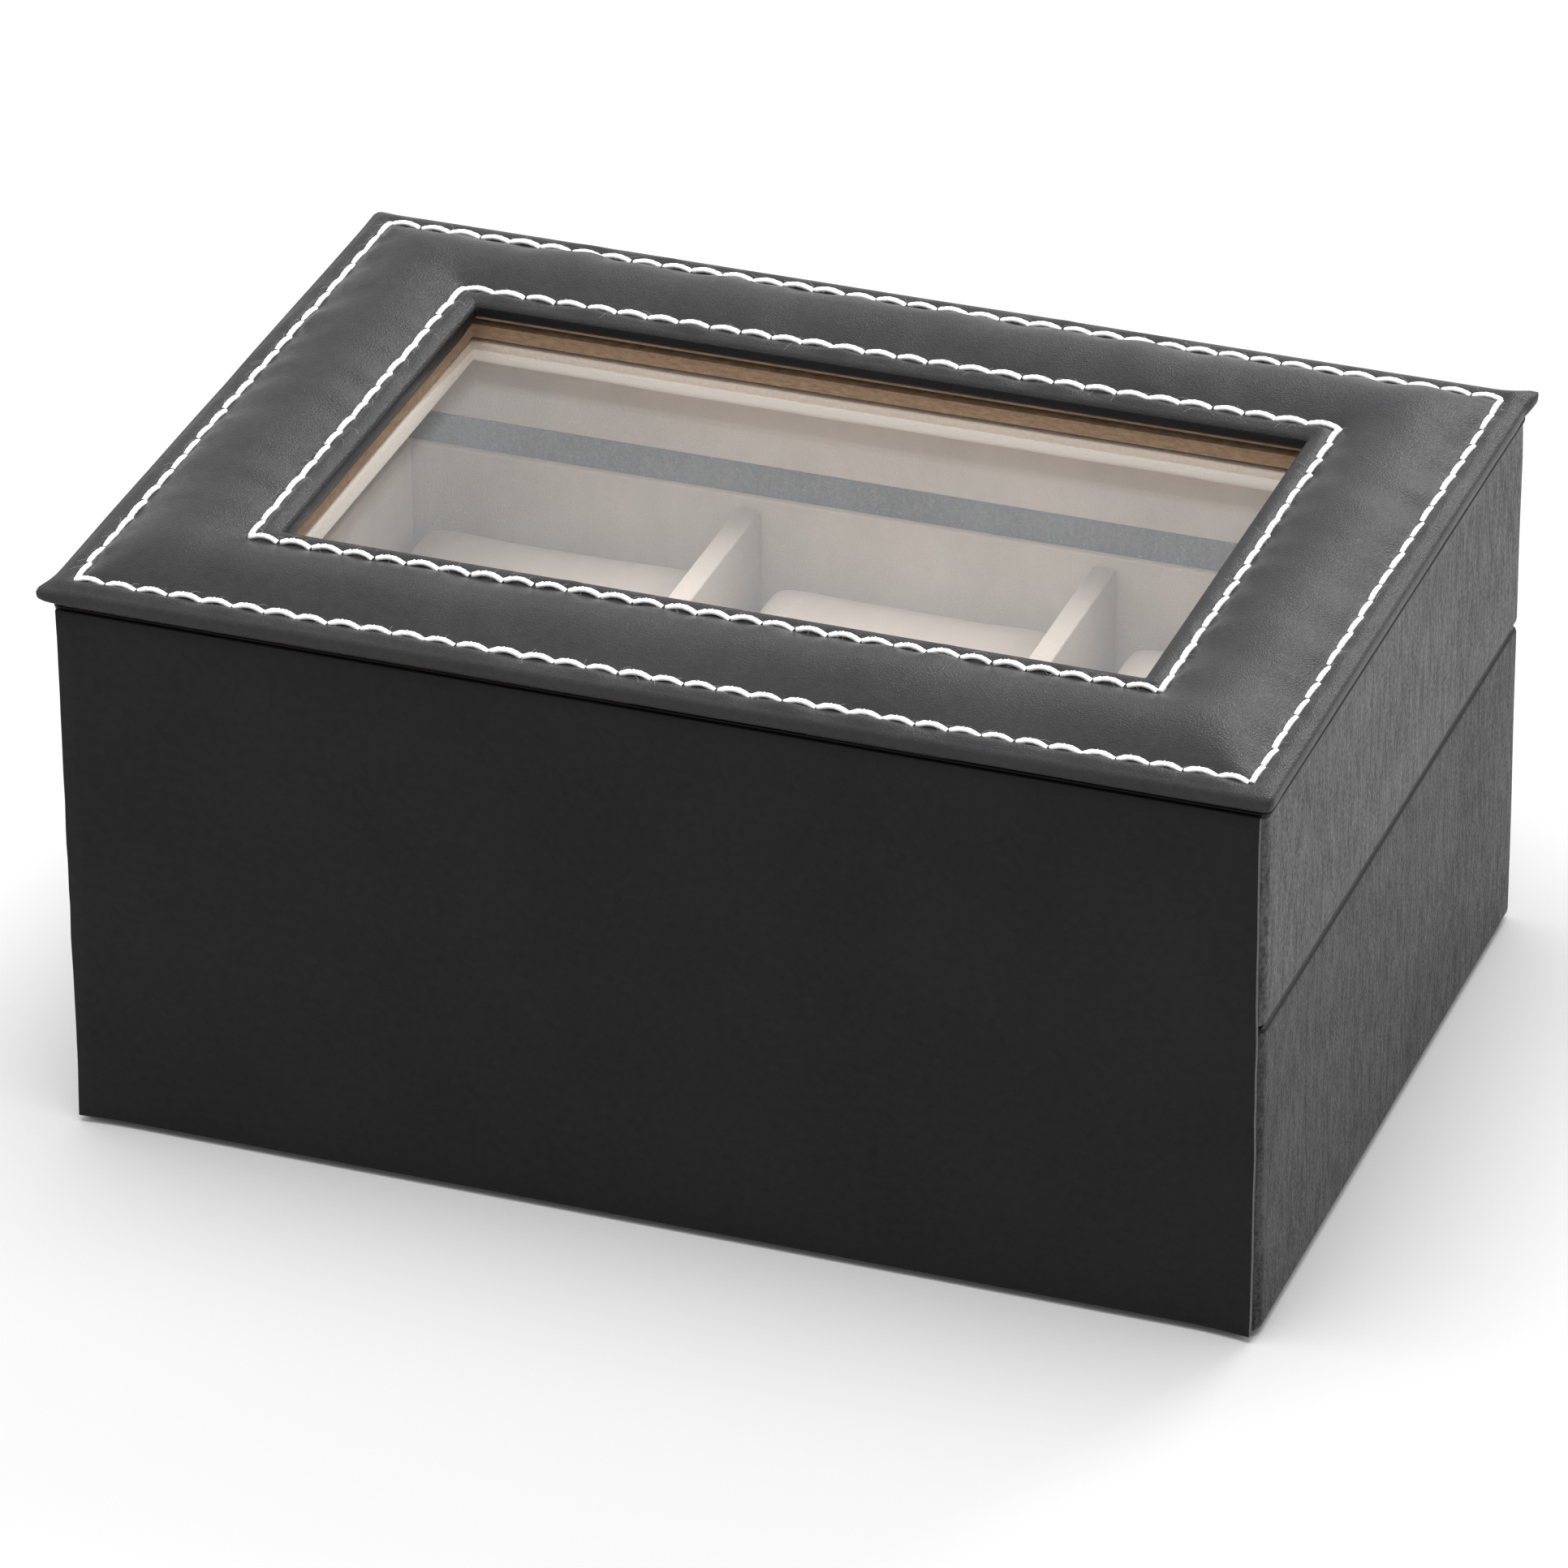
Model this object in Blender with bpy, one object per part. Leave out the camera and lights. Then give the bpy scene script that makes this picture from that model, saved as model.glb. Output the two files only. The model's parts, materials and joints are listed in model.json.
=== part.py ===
"""Watch box: a board box wrapped in leatherette, with a hinged lid that has a padded,
stitched frame round a glass window, and a velvet interior that holds six watch pillows.

The model's origin is the middle of the underside. +X runs along the box, +Z is up and
the hinge is on the -Y side. Sizes are in metres.
"""

import math

import bmesh
import bpy
from mathutils import Matrix, Vector

# ---------------------------------------------------------------- driving dimensions
BOX_WIDTH = 0.2000        # over the wrapped ends
BOX_DEPTH = 0.1380        # over the wrapped front and the hinge skin
BASE_HEIGHT = 0.0560      # table to the middle of the seam
LID_SIDE_HEIGHT = 0.0384  # middle of the seam to the underside of the padded frame
RIM_THICKNESS = 0.0035    # padded frame at its stitched edge
PADDING_RISE = 0.0021     # crest of the padding above the stitched edge
RIM_OVERHANG = 0.0009     # padded frame beyond the sides, which a finger lifts
WINDOW_WIDTH = 0.1430     # opening in the padded frame
WINDOW_DEPTH = 0.0830

SKIN = 0.0008             # leatherette
BOARD = 0.0040            # side boards
BOTTOM_BOARD = 0.0030
TOP_BOARD = 0.0024
LINING = 0.0015           # velvet on card
FLOOR_LINING = 0.0012
UNDERSIDE = 0.0008        # felt sheet under the base
STRIP = 0.0008            # velvet tape inside the hinge
PANE = 0.0020
RETAINER = 0.0022         # velvet frame that holds the pane up
FRAME_CARD = 0.0012       # stiff card inside the padded frame
PADDING = 0.0017          # foam between the stitch lines
THREAD = 0.0009           # stitching thread

FIT = 0.0003              # between pieces that are glued face to face
SEAM = 0.0004             # between the closed lid and the base
LIP_CLEARANCE = 0.0005    # between the base's lip and the lid's turned-in skin
SKIN_SEAM = 0.0002        # between the two halves of the hinge skin
HINGE_SKIN_INSET = 0.0010 # hinge skin's side edges, in from the ends of the box
UNDERSIDE_INSET = 0.0020
CORNER_RADIUS = 0.0015    # upright corners of the wrapped sides
RIM_RADIUS = 0.0012       # edges of the padded frame

TURN_IN = 0.0090          # skin folded inside, down from the seam or up from it
TURN_UNDER = 0.0120       # skin folded under the base
FRAME_TURN_UNDER = 0.0060 # skin folded under the padded frame
LIP_RISE = 0.0040         # base lining above the seam, which locates the lid
DIVIDER_RISE = 0.0020     # dividers above the seam
STRIP_GRIP = 0.0057       # hinge strip glued down below the seam
STRIP_END_GAP = 0.0010    # hinge strip to the linings at its ends
STITCH_MARGIN = 0.0041    # stitch lines, in from both edges of the padded frame
STITCH_CORNER = 0.0008
BULGE_RADIUS = 0.0016     # outer edges of the padding's bulge
OPENING_SETBACK = 0.0015  # top board and retainer, back from the padded frame's opening
PANE_GRIP = 0.0080        # pane beyond the opening, on each side

COLUMNS = 3
ROWS = 2
DIVIDER = 0.0040
PILLOW_HEIGHT = 0.0420
PILLOW_EASE = 0.00175     # pillow to the sides of its compartment
PILLOW_ROUNDING = 0.0075

# ------------------------------------------------- depths below the outer side faces
BOARD_OUTSIDE = SKIN + FIT
BOARD_INSIDE = BOARD_OUTSIDE + BOARD
TURN_IN_OUTSIDE = BOARD_INSIDE + FIT
TURN_IN_INSIDE = TURN_IN_OUTSIDE + SKIN
BASE_LINING_OUTSIDE = TURN_IN_INSIDE + LIP_CLEARANCE
BASE_LINING_INSIDE = BASE_LINING_OUTSIDE + LINING
LID_LINING_OUTSIDE = BOARD_INSIDE + FIT
LID_LINING_INSIDE = LID_LINING_OUTSIDE + LINING
STRIP_OUTSIDE = TURN_IN_INSIDE + FIT
STRIP_INSIDE = STRIP_OUTSIDE + STRIP

# ---------------------------------------------------------------------- heights
COVER_BOTTOM = UNDERSIDE + FIT
BOARDS_BOTTOM = COVER_BOTTOM + SKIN + FIT
BOTTOM_BOARD_TOP = BOARDS_BOTTOM + BOTTOM_BOARD
FLOOR_BOTTOM = BOTTOM_BOARD_TOP + FIT
INTERIOR_BOTTOM = FLOOR_BOTTOM + FLOOR_LINING + FIT
BASE_TOP = BASE_HEIGHT - SEAM / 2
LID_BOTTOM = BASE_HEIGHT + SEAM / 2
RIM_BOTTOM = BASE_HEIGHT + LID_SIDE_HEIGHT
RIM_TOP = RIM_BOTTOM + RIM_THICKNESS
CREST = RIM_TOP + PADDING_RISE
TOP_BOARD_TOP = RIM_BOTTOM - FIT
TOP_BOARD_BOTTOM = TOP_BOARD_TOP - TOP_BOARD
PANE_TOP = TOP_BOARD_BOTTOM - FIT
RETAINER_TOP = PANE_TOP - PANE - FIT
RETAINER_BOTTOM = RETAINER_TOP - RETAINER
LID_LINING_BOTTOM = LID_BOTTOM + TURN_IN + FIT

HINGE = Vector((0.0, -BOX_DEPTH / 2, BASE_HEIGHT))
PAST = 0.004              # how far a cutter runs past what it cuts


def inset(depth):
    """Half width and half depth of the rectangle that lies depth inside the sides."""
    return BOX_WIDTH / 2 - depth, BOX_DEPTH / 2 - depth


def grown(half, margin):
    """A half width and half depth, made larger by margin on every side."""
    return half[0] + margin, half[1] + margin


WINDOW = (WINDOW_WIDTH / 2, WINDOW_DEPTH / 2)
RIM = inset(-RIM_OVERHANG)
GLAZED_OPENING = grown(WINDOW, OPENING_SETBACK)


# ------------------------------------------------------------------- scene helpers
def clear_scene():
    """Remove every object, and set up the two collections."""
    for old in list(bpy.data.objects):
        bpy.data.objects.remove(old, do_unlink=True)
    made = []
    for name in ("watch_box", "cutters"):
        group = bpy.data.collections.new(name)
        bpy.context.scene.collection.children.link(group)
        made.append(group)
    return made


PARTS, CUTTERS = clear_scene()


def finish(name, colour, roughness, metallic=0.0, alpha=1.0):
    """A plain Principled material."""
    made = bpy.data.materials.new(name)
    made.use_nodes = True
    shader = made.node_tree.nodes["Principled BSDF"]
    shader.inputs["Base Color"].default_value = (*colour, 1.0)
    shader.inputs["Roughness"].default_value = roughness
    shader.inputs["Metallic"].default_value = metallic
    shader.inputs["Alpha"].default_value = alpha
    return made


SIDE_LEATHER = finish("side_leatherette", (0.060, 0.060, 0.062), 0.50)
HINGE_LEATHER = finish("hinge_leatherette", (0.020, 0.020, 0.021), 0.62)
FRAME_LEATHER = finish("frame_leatherette", (0.038, 0.038, 0.040), 0.45)
VELVET = finish("velvet", (0.50, 0.44, 0.38), 0.95)
BOARD_WOOD = finish("fibreboard", (0.24, 0.15, 0.09), 0.85)
CARD = finish("greyboard", (0.34, 0.31, 0.27), 0.90)
FELT = finish("felt", (0.018, 0.018, 0.018), 0.98)
FOAM = finish("foam", (0.72, 0.70, 0.62), 0.95)
GLASS = finish("glass", (0.88, 0.90, 0.88), 0.04, alpha=0.3)
WHITE_THREAD = finish("thread", (0.85, 0.85, 0.84), 0.70)


def empty(name, location):
    """A parent for the pieces that move together, at their joint."""
    made = bpy.data.objects.new(name, None)
    made.empty_display_size = 0.02
    made.location = location
    PARTS.objects.link(made)
    return made


def add(name, mesh, centre, material=None, parent=None):
    """Link a mesh as a part, or as a cutter where it has no material."""
    made = bpy.data.objects.new(name, mesh)
    made.location = Vector(centre)
    if material is None:
        CUTTERS.objects.link(made)
        made.hide_render = True
        made.display_type = "WIRE"
    else:
        PARTS.objects.link(made)
        mesh.materials.append(material)
    if parent is not None:
        made.parent = parent
        made.location = Vector(centre) - parent.location
    return made


def slab(name, x, y, z, material=None, parent=None, rounding=0.0, rounded="upright", segments=3):
    """A block between the given limits. Its upright edges, its top edges or all of its
    edges are rounded where a rounding is given."""
    low, high = Vector((x[0], y[0], z[0])), Vector((x[1], y[1], z[1]))
    size = high - low
    shape = bmesh.new()
    bmesh.ops.create_cube(shape, size=1.0, matrix=Matrix.Diagonal((*size, 1.0)))
    if rounding > 0.0:
        chosen = {
            "upright": lambda a, b: abs(a.z - b.z) > size.z / 2,
            "top": lambda a, b: a.z > 0 and b.z > 0,
            "all": lambda a, b: True,
        }[rounded]
        edges = [e for e in shape.edges if chosen(e.verts[0].co, e.verts[1].co)]
        bmesh.ops.bevel(shape, geom=edges, offset=rounding, segments=segments,
                        profile=0.5, affect="EDGES", clamp_overlap=True)
    mesh = bpy.data.meshes.new(name)
    shape.to_mesh(mesh)
    shape.free()
    if rounding > 0.0:
        mesh.shade_smooth()
        mesh.set_sharp_from_angle(angle=math.radians(35))
    return add(name, mesh, (low + high) / 2, material, parent)


def centred(half):
    """The X and Y limits of a rectangle about the origin, ready for a slab."""
    return (-half[0], half[0]), (-half[1], half[1])


def ring(name, outer, inner, z, material=None, parent=None):
    """A flat rectangular frame, from two outlines about the origin."""
    outline = bpy.data.curves.new(name, "CURVE")
    outline.dimensions = "2D"
    outline.fill_mode = "BOTH"
    outline.extrude = (z[1] - z[0]) / 2
    for half in (outer, inner):
        spline = outline.splines.new("POLY")
        spline.points.add(3)
        corners = ((-1, -1), (1, -1), (1, 1), (-1, 1))
        for point, (side_x, side_y) in zip(spline.points, corners):
            point.co = (side_x * half[0], side_y * half[1], 0.0, 1.0)
        spline.use_cyclic_u = True
    holder = bpy.data.objects.new(name + "_outline", outline)
    CUTTERS.objects.link(holder)
    evaluated = holder.evaluated_get(bpy.context.evaluated_depsgraph_get())
    mesh = bpy.data.meshes.new_from_object(evaluated)
    bpy.data.objects.remove(holder)
    shape = bmesh.new()
    shape.from_mesh(mesh)
    bmesh.ops.remove_doubles(shape, verts=shape.verts, dist=0.00002)
    bmesh.ops.recalc_face_normals(shape, faces=shape.faces)
    shape.to_mesh(mesh)
    shape.free()
    mesh.name = name
    return add(name, mesh, (0.0, 0.0, (z[0] + z[1]) / 2), material, parent)


def combine(target, tool, operation="DIFFERENCE"):
    """Cut a tool from a target, or join it on."""
    step = target.modifiers.new(operation.lower() + "_" + tool.name, "BOOLEAN")
    step.operation = operation
    step.solver = "EXACT"
    step.object = tool


# ------------------------------------------------------------------ wrapped walls
def boards(prefix, z, parent=None):
    """Four side boards. The long ones run full width, the short ones between them."""
    out_x, out_y = inset(BOARD_OUTSIDE)
    in_x, in_y = inset(BOARD_INSIDE)
    between = (-(in_y - FIT), in_y - FIT)
    slab(prefix + "_front_board", (-out_x, out_x), (in_y, out_y), z, BOARD_WOOD, parent)
    slab(prefix + "_back_board", (-out_x, out_x), (-out_y, -in_y), z, BOARD_WOOD, parent)
    slab(prefix + "_left_board", (-out_x, -in_x), between, z, BOARD_WOOD, parent)
    slab(prefix + "_right_board", (in_x, out_x), between, z, BOARD_WOOD, parent)


def linings(prefix, outside, inside, z, back_z, parent=None):
    """Four velvet linings. The back one has its own height, to suit the hinge."""
    out_x, out_y = inset(outside)
    in_x, in_y = inset(inside)
    between = (-(in_y - FIT), in_y - FIT)
    slab(prefix + "_front_lining", (-out_x, out_x), (in_y, out_y), z, VELVET, parent)
    slab(prefix + "_back_lining", (-out_x, out_x), (-out_y, -in_y), back_z, VELVET, parent)
    slab(prefix + "_left_lining", (-out_x, -in_x), between, z, VELVET, parent)
    slab(prefix + "_right_lining", (in_x, out_x), between, z, VELVET, parent)


def cover(name, seam_z, far_z, turn_under, parent=None):
    """Leatherette on the front and both ends. At the seam it goes over the boards' edges
    and turns in on all four sides. At its far edge it turns under the boards by
    turn_under, or stops plain where that is zero. The back is left to the hinge skin."""
    up = 1.0 if seam_z > far_z else -1.0
    span = lambda a, b: (min(a, b), max(a, b))
    out_x, out_y = inset(0.0)
    back = -(out_y - BOARD_OUTSIDE)
    skin = slab(name, (-out_x, out_x), (back, out_y), span(far_z, seam_z), SIDE_LEATHER,
                parent, rounding=CORNER_RADIUS)
    over_edge = seam_z - up * SKIN
    under_edge = far_z + up * SKIN if turn_under > 0.0 else far_z - up * PAST
    side_x, side_y = inset(SKIN)
    board_space = slab(name + "_board_space", (-side_x, side_x), (back - PAST, side_y),
                       span(under_edge, over_edge))
    combine(board_space, slab(name + "_turn_in_core", *centred(inset(TURN_IN_OUTSIDE)),
                              span(far_z - 2 * up * PAST, seam_z + up * PAST)))
    combine(skin, board_space)
    well = centred(inset(TURN_IN_INSIDE))
    combine(skin, slab(name + "_well", *well, span(under_edge, seam_z + up * PAST)))
    below = centred(inset(SKIN + BOARD))
    combine(skin, slab(name + "_below_turn_in", *below, span(under_edge, seam_z - up * TURN_IN)))
    if turn_under > 0.0:
        opening = centred(inset(turn_under))
        combine(skin, slab(name + "_underside_opening", *opening,
                           span(far_z - up * PAST, under_edge + up * PAST)))


def hinge_skin(name, z, parent=None):
    """One half of the skin that covers the back and carries the lid."""
    half = BOX_WIDTH / 2 - HINGE_SKIN_INSET
    back = -BOX_DEPTH / 2
    slab(name, (-half, half), (back, back + SKIN), z, HINGE_LEATHER, parent)


# ---------------------------------------------------------------------- the base
def make_base():
    """The box itself, with its lining. Nothing in it moves but the pillows."""
    slab("base_underside", *centred(inset(UNDERSIDE_INSET)), (0.0, UNDERSIDE), FELT)
    bottom = inset(BOARD_INSIDE + FIT)
    slab("base_bottom_board", *centred(bottom), (BOARDS_BOTTOM, BOTTOM_BOARD_TOP), BOARD_WOOD)
    boards("base", (BOARDS_BOTTOM, BASE_TOP - SKIN - FIT))
    cover("base_cover", BASE_TOP, COVER_BOTTOM, TURN_UNDER)
    hinge_skin("base_hinge_skin", (COVER_BOTTOM, BASE_HEIGHT - SKIN_SEAM / 2))
    floor = (FLOOR_BOTTOM, FLOOR_BOTTOM + FLOOR_LINING)
    slab("base_floor_lining", *centred(bottom), floor, VELVET)
    linings("base", BASE_LINING_OUTSIDE, BASE_LINING_INSIDE,
            (INTERIOR_BOTTOM, BASE_HEIGHT + LIP_RISE),
            (INTERIOR_BOTTOM, BASE_HEIGHT - STRIP_GRIP - FIT))
    strip_half = BOX_WIDTH / 2 - BASE_LINING_INSIDE - STRIP_END_GAP
    slab("inner_hinge_strip", (-strip_half, strip_half),
         (STRIP_OUTSIDE - BOX_DEPTH / 2, STRIP_INSIDE - BOX_DEPTH / 2),
         (BASE_HEIGHT - STRIP_GRIP, LID_LINING_BOTTOM - FIT), VELVET)


def grid_lines(half, count):
    """Middles of the dividers that part a width of twice half into count spaces."""
    pitch = (2 * half + DIVIDER) / count
    return [-half - DIVIDER / 2 + pitch * step for step in range(1, count)]


def cell_centres(half, count):
    """Middles of the spaces between the dividers."""
    pitch = (2 * half + DIVIDER) / count
    return [-half - DIVIDER / 2 + pitch * (step + 0.5) for step in range(count)]


def cell_size(half, count):
    """Clear width of one space between the dividers."""
    return (2 * half - (count - 1) * DIVIDER) / count


def make_dividers():
    """Velvet-covered dividers. Where two cross, each is slotted through half its height."""
    half_x, half_y = inset(BASE_LINING_INSIDE)
    top = BASE_HEIGHT + DIVIDER_RISE
    middle = (INTERIOR_BOTTOM + top) / 2
    slot = DIVIDER / 2 + FIT
    height = (INTERIOR_BOTTOM, top)
    columns = grid_lines(half_x, COLUMNS)
    rows = grid_lines(half_y, ROWS)
    for row, y in enumerate(rows, 1):
        name = f"long_divider_{row}"
        long_divider = slab(name, (-half_x + FIT, half_x - FIT),
                            (y - DIVIDER / 2, y + DIVIDER / 2), height, VELVET)
        for column, x in enumerate(columns, 1):
            combine(long_divider, slab(f"{name}_slot_{column}", (x - slot, x + slot),
                                       (y - DIVIDER, y + DIVIDER), (middle, top + PAST)))
    for column, x in enumerate(columns, 1):
        name = f"cross_divider_{column}"
        cross_divider = slab(name, (x - DIVIDER / 2, x + DIVIDER / 2),
                             (-half_y + FIT, half_y - FIT), height, VELVET)
        for row, y in enumerate(rows, 1):
            combine(cross_divider, slab(f"{name}_slot_{row}", (x - DIVIDER, x + DIVIDER),
                                        (y - slot, y + slot),
                                        (INTERIOR_BOTTOM - PAST, middle + FIT)))


def make_pillows():
    """One loose cushion in each compartment, numbered from the left at the hinge."""
    half_x, half_y = inset(BASE_LINING_INSIDE)
    reach_x = cell_size(half_x, COLUMNS) / 2 - PILLOW_EASE
    reach_y = cell_size(half_y, ROWS) / 2 - PILLOW_EASE
    number = 0
    for y in cell_centres(half_y, ROWS):
        for x in cell_centres(half_x, COLUMNS):
            number += 1
            slab(f"pillow_{number}", (x - reach_x, x + reach_x), (y - reach_y, y + reach_y),
                 (INTERIOR_BOTTOM, INTERIOR_BOTTOM + PILLOW_HEIGHT), VELVET,
                 rounding=PILLOW_ROUNDING, rounded="all", segments=4)


# ----------------------------------------------------------------------- the lid
def make_lid_walls(lid):
    """The lid's sides, and the board and velvet frame that hold the pane between them."""
    boards("lid", (LID_BOTTOM + SKIN + FIT, TOP_BOARD_BOTTOM - FIT), lid)
    cover("lid_cover", LID_BOTTOM, TOP_BOARD_TOP, 0.0, lid)
    hinge_skin("lid_hinge_skin", (BASE_HEIGHT + SKIN_SEAM / 2, TOP_BOARD_TOP), lid)
    lining_z = (LID_LINING_BOTTOM, RETAINER_BOTTOM - FIT)
    linings("lid", LID_LINING_OUTSIDE, LID_LINING_INSIDE, lining_z, lining_z, lid)
    ring("lid_top_board", inset(BOARD_OUTSIDE), GLAZED_OPENING,
         (TOP_BOARD_BOTTOM, TOP_BOARD_TOP), BOARD_WOOD, lid)
    slab("window_pane", *centred(grown(GLAZED_OPENING, PANE_GRIP)),
         (PANE_TOP - PANE, PANE_TOP), GLASS, lid)
    ring("pane_retainer", inset(LID_LINING_OUTSIDE), GLAZED_OPENING,
         (RETAINER_BOTTOM, RETAINER_TOP), VELVET, lid)


def stitch_loop(name, half, lid):
    """Thread laid along a stitch line, as one closed loop with rounded corners."""
    path = bpy.data.curves.new(name, "CURVE")
    path.dimensions = "3D"
    path.fill_mode = "FULL"
    path.bevel_depth = THREAD / 2
    path.bevel_resolution = 2
    steps = 4
    corners = []
    for quarter, (side_x, side_y) in enumerate(((1, 1), (-1, 1), (-1, -1), (1, -1))):
        for step in range(steps + 1):
            angle = math.radians(90) * (quarter + step / steps)
            corners.append((side_x * (half[0] - STITCH_CORNER) + STITCH_CORNER * math.cos(angle),
                            side_y * (half[1] - STITCH_CORNER) + STITCH_CORNER * math.sin(angle)))
    spline = path.splines.new("POLY")
    spline.points.add(len(corners) - 1)
    for point, (x, y) in zip(spline.points, corners):
        point.co = (x, y, 0.0, 1.0)
    spline.use_cyclic_u = True
    path.materials.append(WHITE_THREAD)
    made = bpy.data.objects.new(name, path)
    PARTS.objects.link(made)
    made.parent = lid
    made.location = Vector((0.0, 0.0, RIM_TOP + FIT + THREAD / 2)) - lid.location


def make_padded_frame(lid):
    """Card, foam, leatherette and two lines of stitching, glued on the lid's top board."""
    outer_line = grown(RIM, -STITCH_MARGIN)
    inner_line = grown(WINDOW, STITCH_MARGIN)
    beside_thread = THREAD / 2 + FIT
    bulge_outer = grown(outer_line, -beside_thread)
    bulge_inner = grown(inner_line, beside_thread)

    skin = slab("frame_leather", *centred(RIM), (RIM_BOTTOM, RIM_TOP), FRAME_LEATHER, lid,
                rounding=RIM_RADIUS, rounded="all")
    past_skin = (RIM_BOTTOM - PAST, CREST + PAST)
    combine(skin, slab("frame_opening", *centred(WINDOW), past_skin, None, lid))
    bulge_bottom = RIM_TOP - BULGE_RADIUS
    bulge = slab("frame_bulge", *centred(bulge_outer), (bulge_bottom, CREST), None, lid,
                 rounding=BULGE_RADIUS, rounded="top")
    combine(bulge, slab("frame_bulge_inside", *centred(bulge_inner), past_skin, None, lid))
    combine(skin, bulge, "UNION")

    card_z = (RIM_BOTTOM + SKIN + FIT, RIM_BOTTOM + SKIN + FIT + FRAME_CARD)
    card_outer, card_inner = grown(RIM, -SKIN - FIT), grown(WINDOW, SKIN + FIT)
    foam_z = (card_z[1] + FIT, card_z[1] + FIT + PADDING)
    foam_outer, foam_inner = grown(bulge_outer, -SKIN - FIT), grown(bulge_inner, SKIN + FIT)
    combine(skin, ring("frame_card_space", grown(card_outer, FIT), grown(card_inner, -FIT),
                       (card_z[0] - FIT, card_z[1] + FIT), None, lid))
    combine(skin, ring("frame_foam_space", grown(foam_outer, FIT), grown(foam_inner, -FIT),
                       (card_z[1], foam_z[1] + FIT), None, lid))
    combine(skin, ring("frame_back_opening", grown(RIM, -FRAME_TURN_UNDER),
                       grown(WINDOW, FRAME_TURN_UNDER), (RIM_BOTTOM - PAST, card_z[0]), None, lid))

    ring("frame_card", card_outer, card_inner, card_z, CARD, lid)
    ring("frame_padding", foam_outer, foam_inner, foam_z, FOAM, lid)
    stitch_loop("outer_stitching", outer_line, lid)
    stitch_loop("inner_stitching", inner_line, lid)


def main():
    """Build every piece of the box."""
    make_base()
    make_dividers()
    make_pillows()
    lid = empty("lid_on_hinge", HINGE)
    make_lid_walls(lid)
    make_padded_frame(lid)


main()
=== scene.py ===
"""Looks of the watch box: leatherette, stitching, velvet, glass and light round its frame.

Every size is in metres and in the frame's own axes: +X along the box, +Y towards the side
that opens and +Z up. The hinge is on the -Y side, and the box stands on z = 0.
"""

import json
import logging
import math
from collections.abc import Callable, Iterable, Sequence
from dataclasses import dataclass, field
from enum import Enum

import bmesh
import bpy
import numpy as np
from mathutils import Matrix, Vector, noise

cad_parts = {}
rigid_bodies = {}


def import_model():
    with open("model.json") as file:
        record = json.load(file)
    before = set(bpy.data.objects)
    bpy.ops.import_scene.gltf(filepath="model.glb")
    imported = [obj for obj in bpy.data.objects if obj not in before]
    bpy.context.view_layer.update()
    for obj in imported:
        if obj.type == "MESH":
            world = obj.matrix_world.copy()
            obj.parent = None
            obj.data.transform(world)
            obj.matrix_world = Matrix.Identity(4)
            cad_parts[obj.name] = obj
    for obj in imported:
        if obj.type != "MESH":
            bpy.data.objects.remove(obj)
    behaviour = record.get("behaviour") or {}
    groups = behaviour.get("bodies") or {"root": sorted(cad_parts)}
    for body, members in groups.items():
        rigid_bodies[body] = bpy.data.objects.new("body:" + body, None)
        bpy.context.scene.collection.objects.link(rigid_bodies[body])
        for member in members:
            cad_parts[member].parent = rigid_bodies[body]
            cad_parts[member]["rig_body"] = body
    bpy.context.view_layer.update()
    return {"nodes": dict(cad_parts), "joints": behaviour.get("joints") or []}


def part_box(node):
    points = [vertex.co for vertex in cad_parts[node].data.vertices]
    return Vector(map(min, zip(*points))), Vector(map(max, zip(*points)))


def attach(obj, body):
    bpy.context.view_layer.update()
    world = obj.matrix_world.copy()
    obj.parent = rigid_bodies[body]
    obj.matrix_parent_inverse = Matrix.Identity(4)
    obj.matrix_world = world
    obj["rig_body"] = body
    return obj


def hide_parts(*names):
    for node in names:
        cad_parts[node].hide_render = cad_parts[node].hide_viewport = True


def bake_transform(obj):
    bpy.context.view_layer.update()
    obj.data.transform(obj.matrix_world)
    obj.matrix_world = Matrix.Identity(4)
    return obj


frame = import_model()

log = logging.getLogger("watch_box")

Number = float | int
Loop = list[tuple[float, float]]

SEAM_Z = frame["joints"][0]["pos_m"][2]
MM = 0.001


# ------------------------------------------------------------------ sizes from the frame
@dataclass(frozen=True)
class Extent:
    """The box that a node fills.

    Args:
        low: its lowest corner.
        high: its highest corner.
    """

    low: Vector
    high: Vector

    @classmethod
    def of(cls, node: str) -> "Extent":
        """The box of one node of the frame."""
        return cls(*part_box(node))

    @property
    def size(self) -> Vector:
        """Its size along each axis."""
        return self.high - self.low

    @property
    def centre(self) -> Vector:
        """Its middle."""
        return (self.high + self.low) / 2


# ------------------------------------------------------------------------- node graphs
class Wire:
    """A node's output that maths can be written with.

    Args:
        graph: the graph that new nodes go in.
        socket: the output socket.
    """

    def __init__(self, graph: "Graph", socket: bpy.types.NodeSocket) -> None:
        """Keep the socket and the graph it is in."""
        self.graph = graph
        self.socket = socket

    def _math(self, operation: str, first: "Wire | Number", second: "Wire | Number") -> "Wire":
        """One Math node."""
        return self.graph.out("ShaderNodeMath", {"operation": operation}, {0: first, 1: second})

    def __add__(self, other: "Wire | Number") -> "Wire":
        """Sum."""
        return self._math("ADD", self, other)

    def __sub__(self, other: "Wire | Number") -> "Wire":
        """Difference."""
        return self._math("SUBTRACT", self, other)

    def __rsub__(self, other: "Wire | Number") -> "Wire":
        """Difference, from a number."""
        return self._math("SUBTRACT", other, self)

    def __mul__(self, other: "Wire | Number") -> "Wire":
        """Product."""
        return self._math("MULTIPLY", self, other)

    def __pow__(self, other: "Wire | Number") -> "Wire":
        """Power."""
        return self._math("POWER", self, other)

    __radd__ = __add__
    __rmul__ = __mul__


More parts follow.
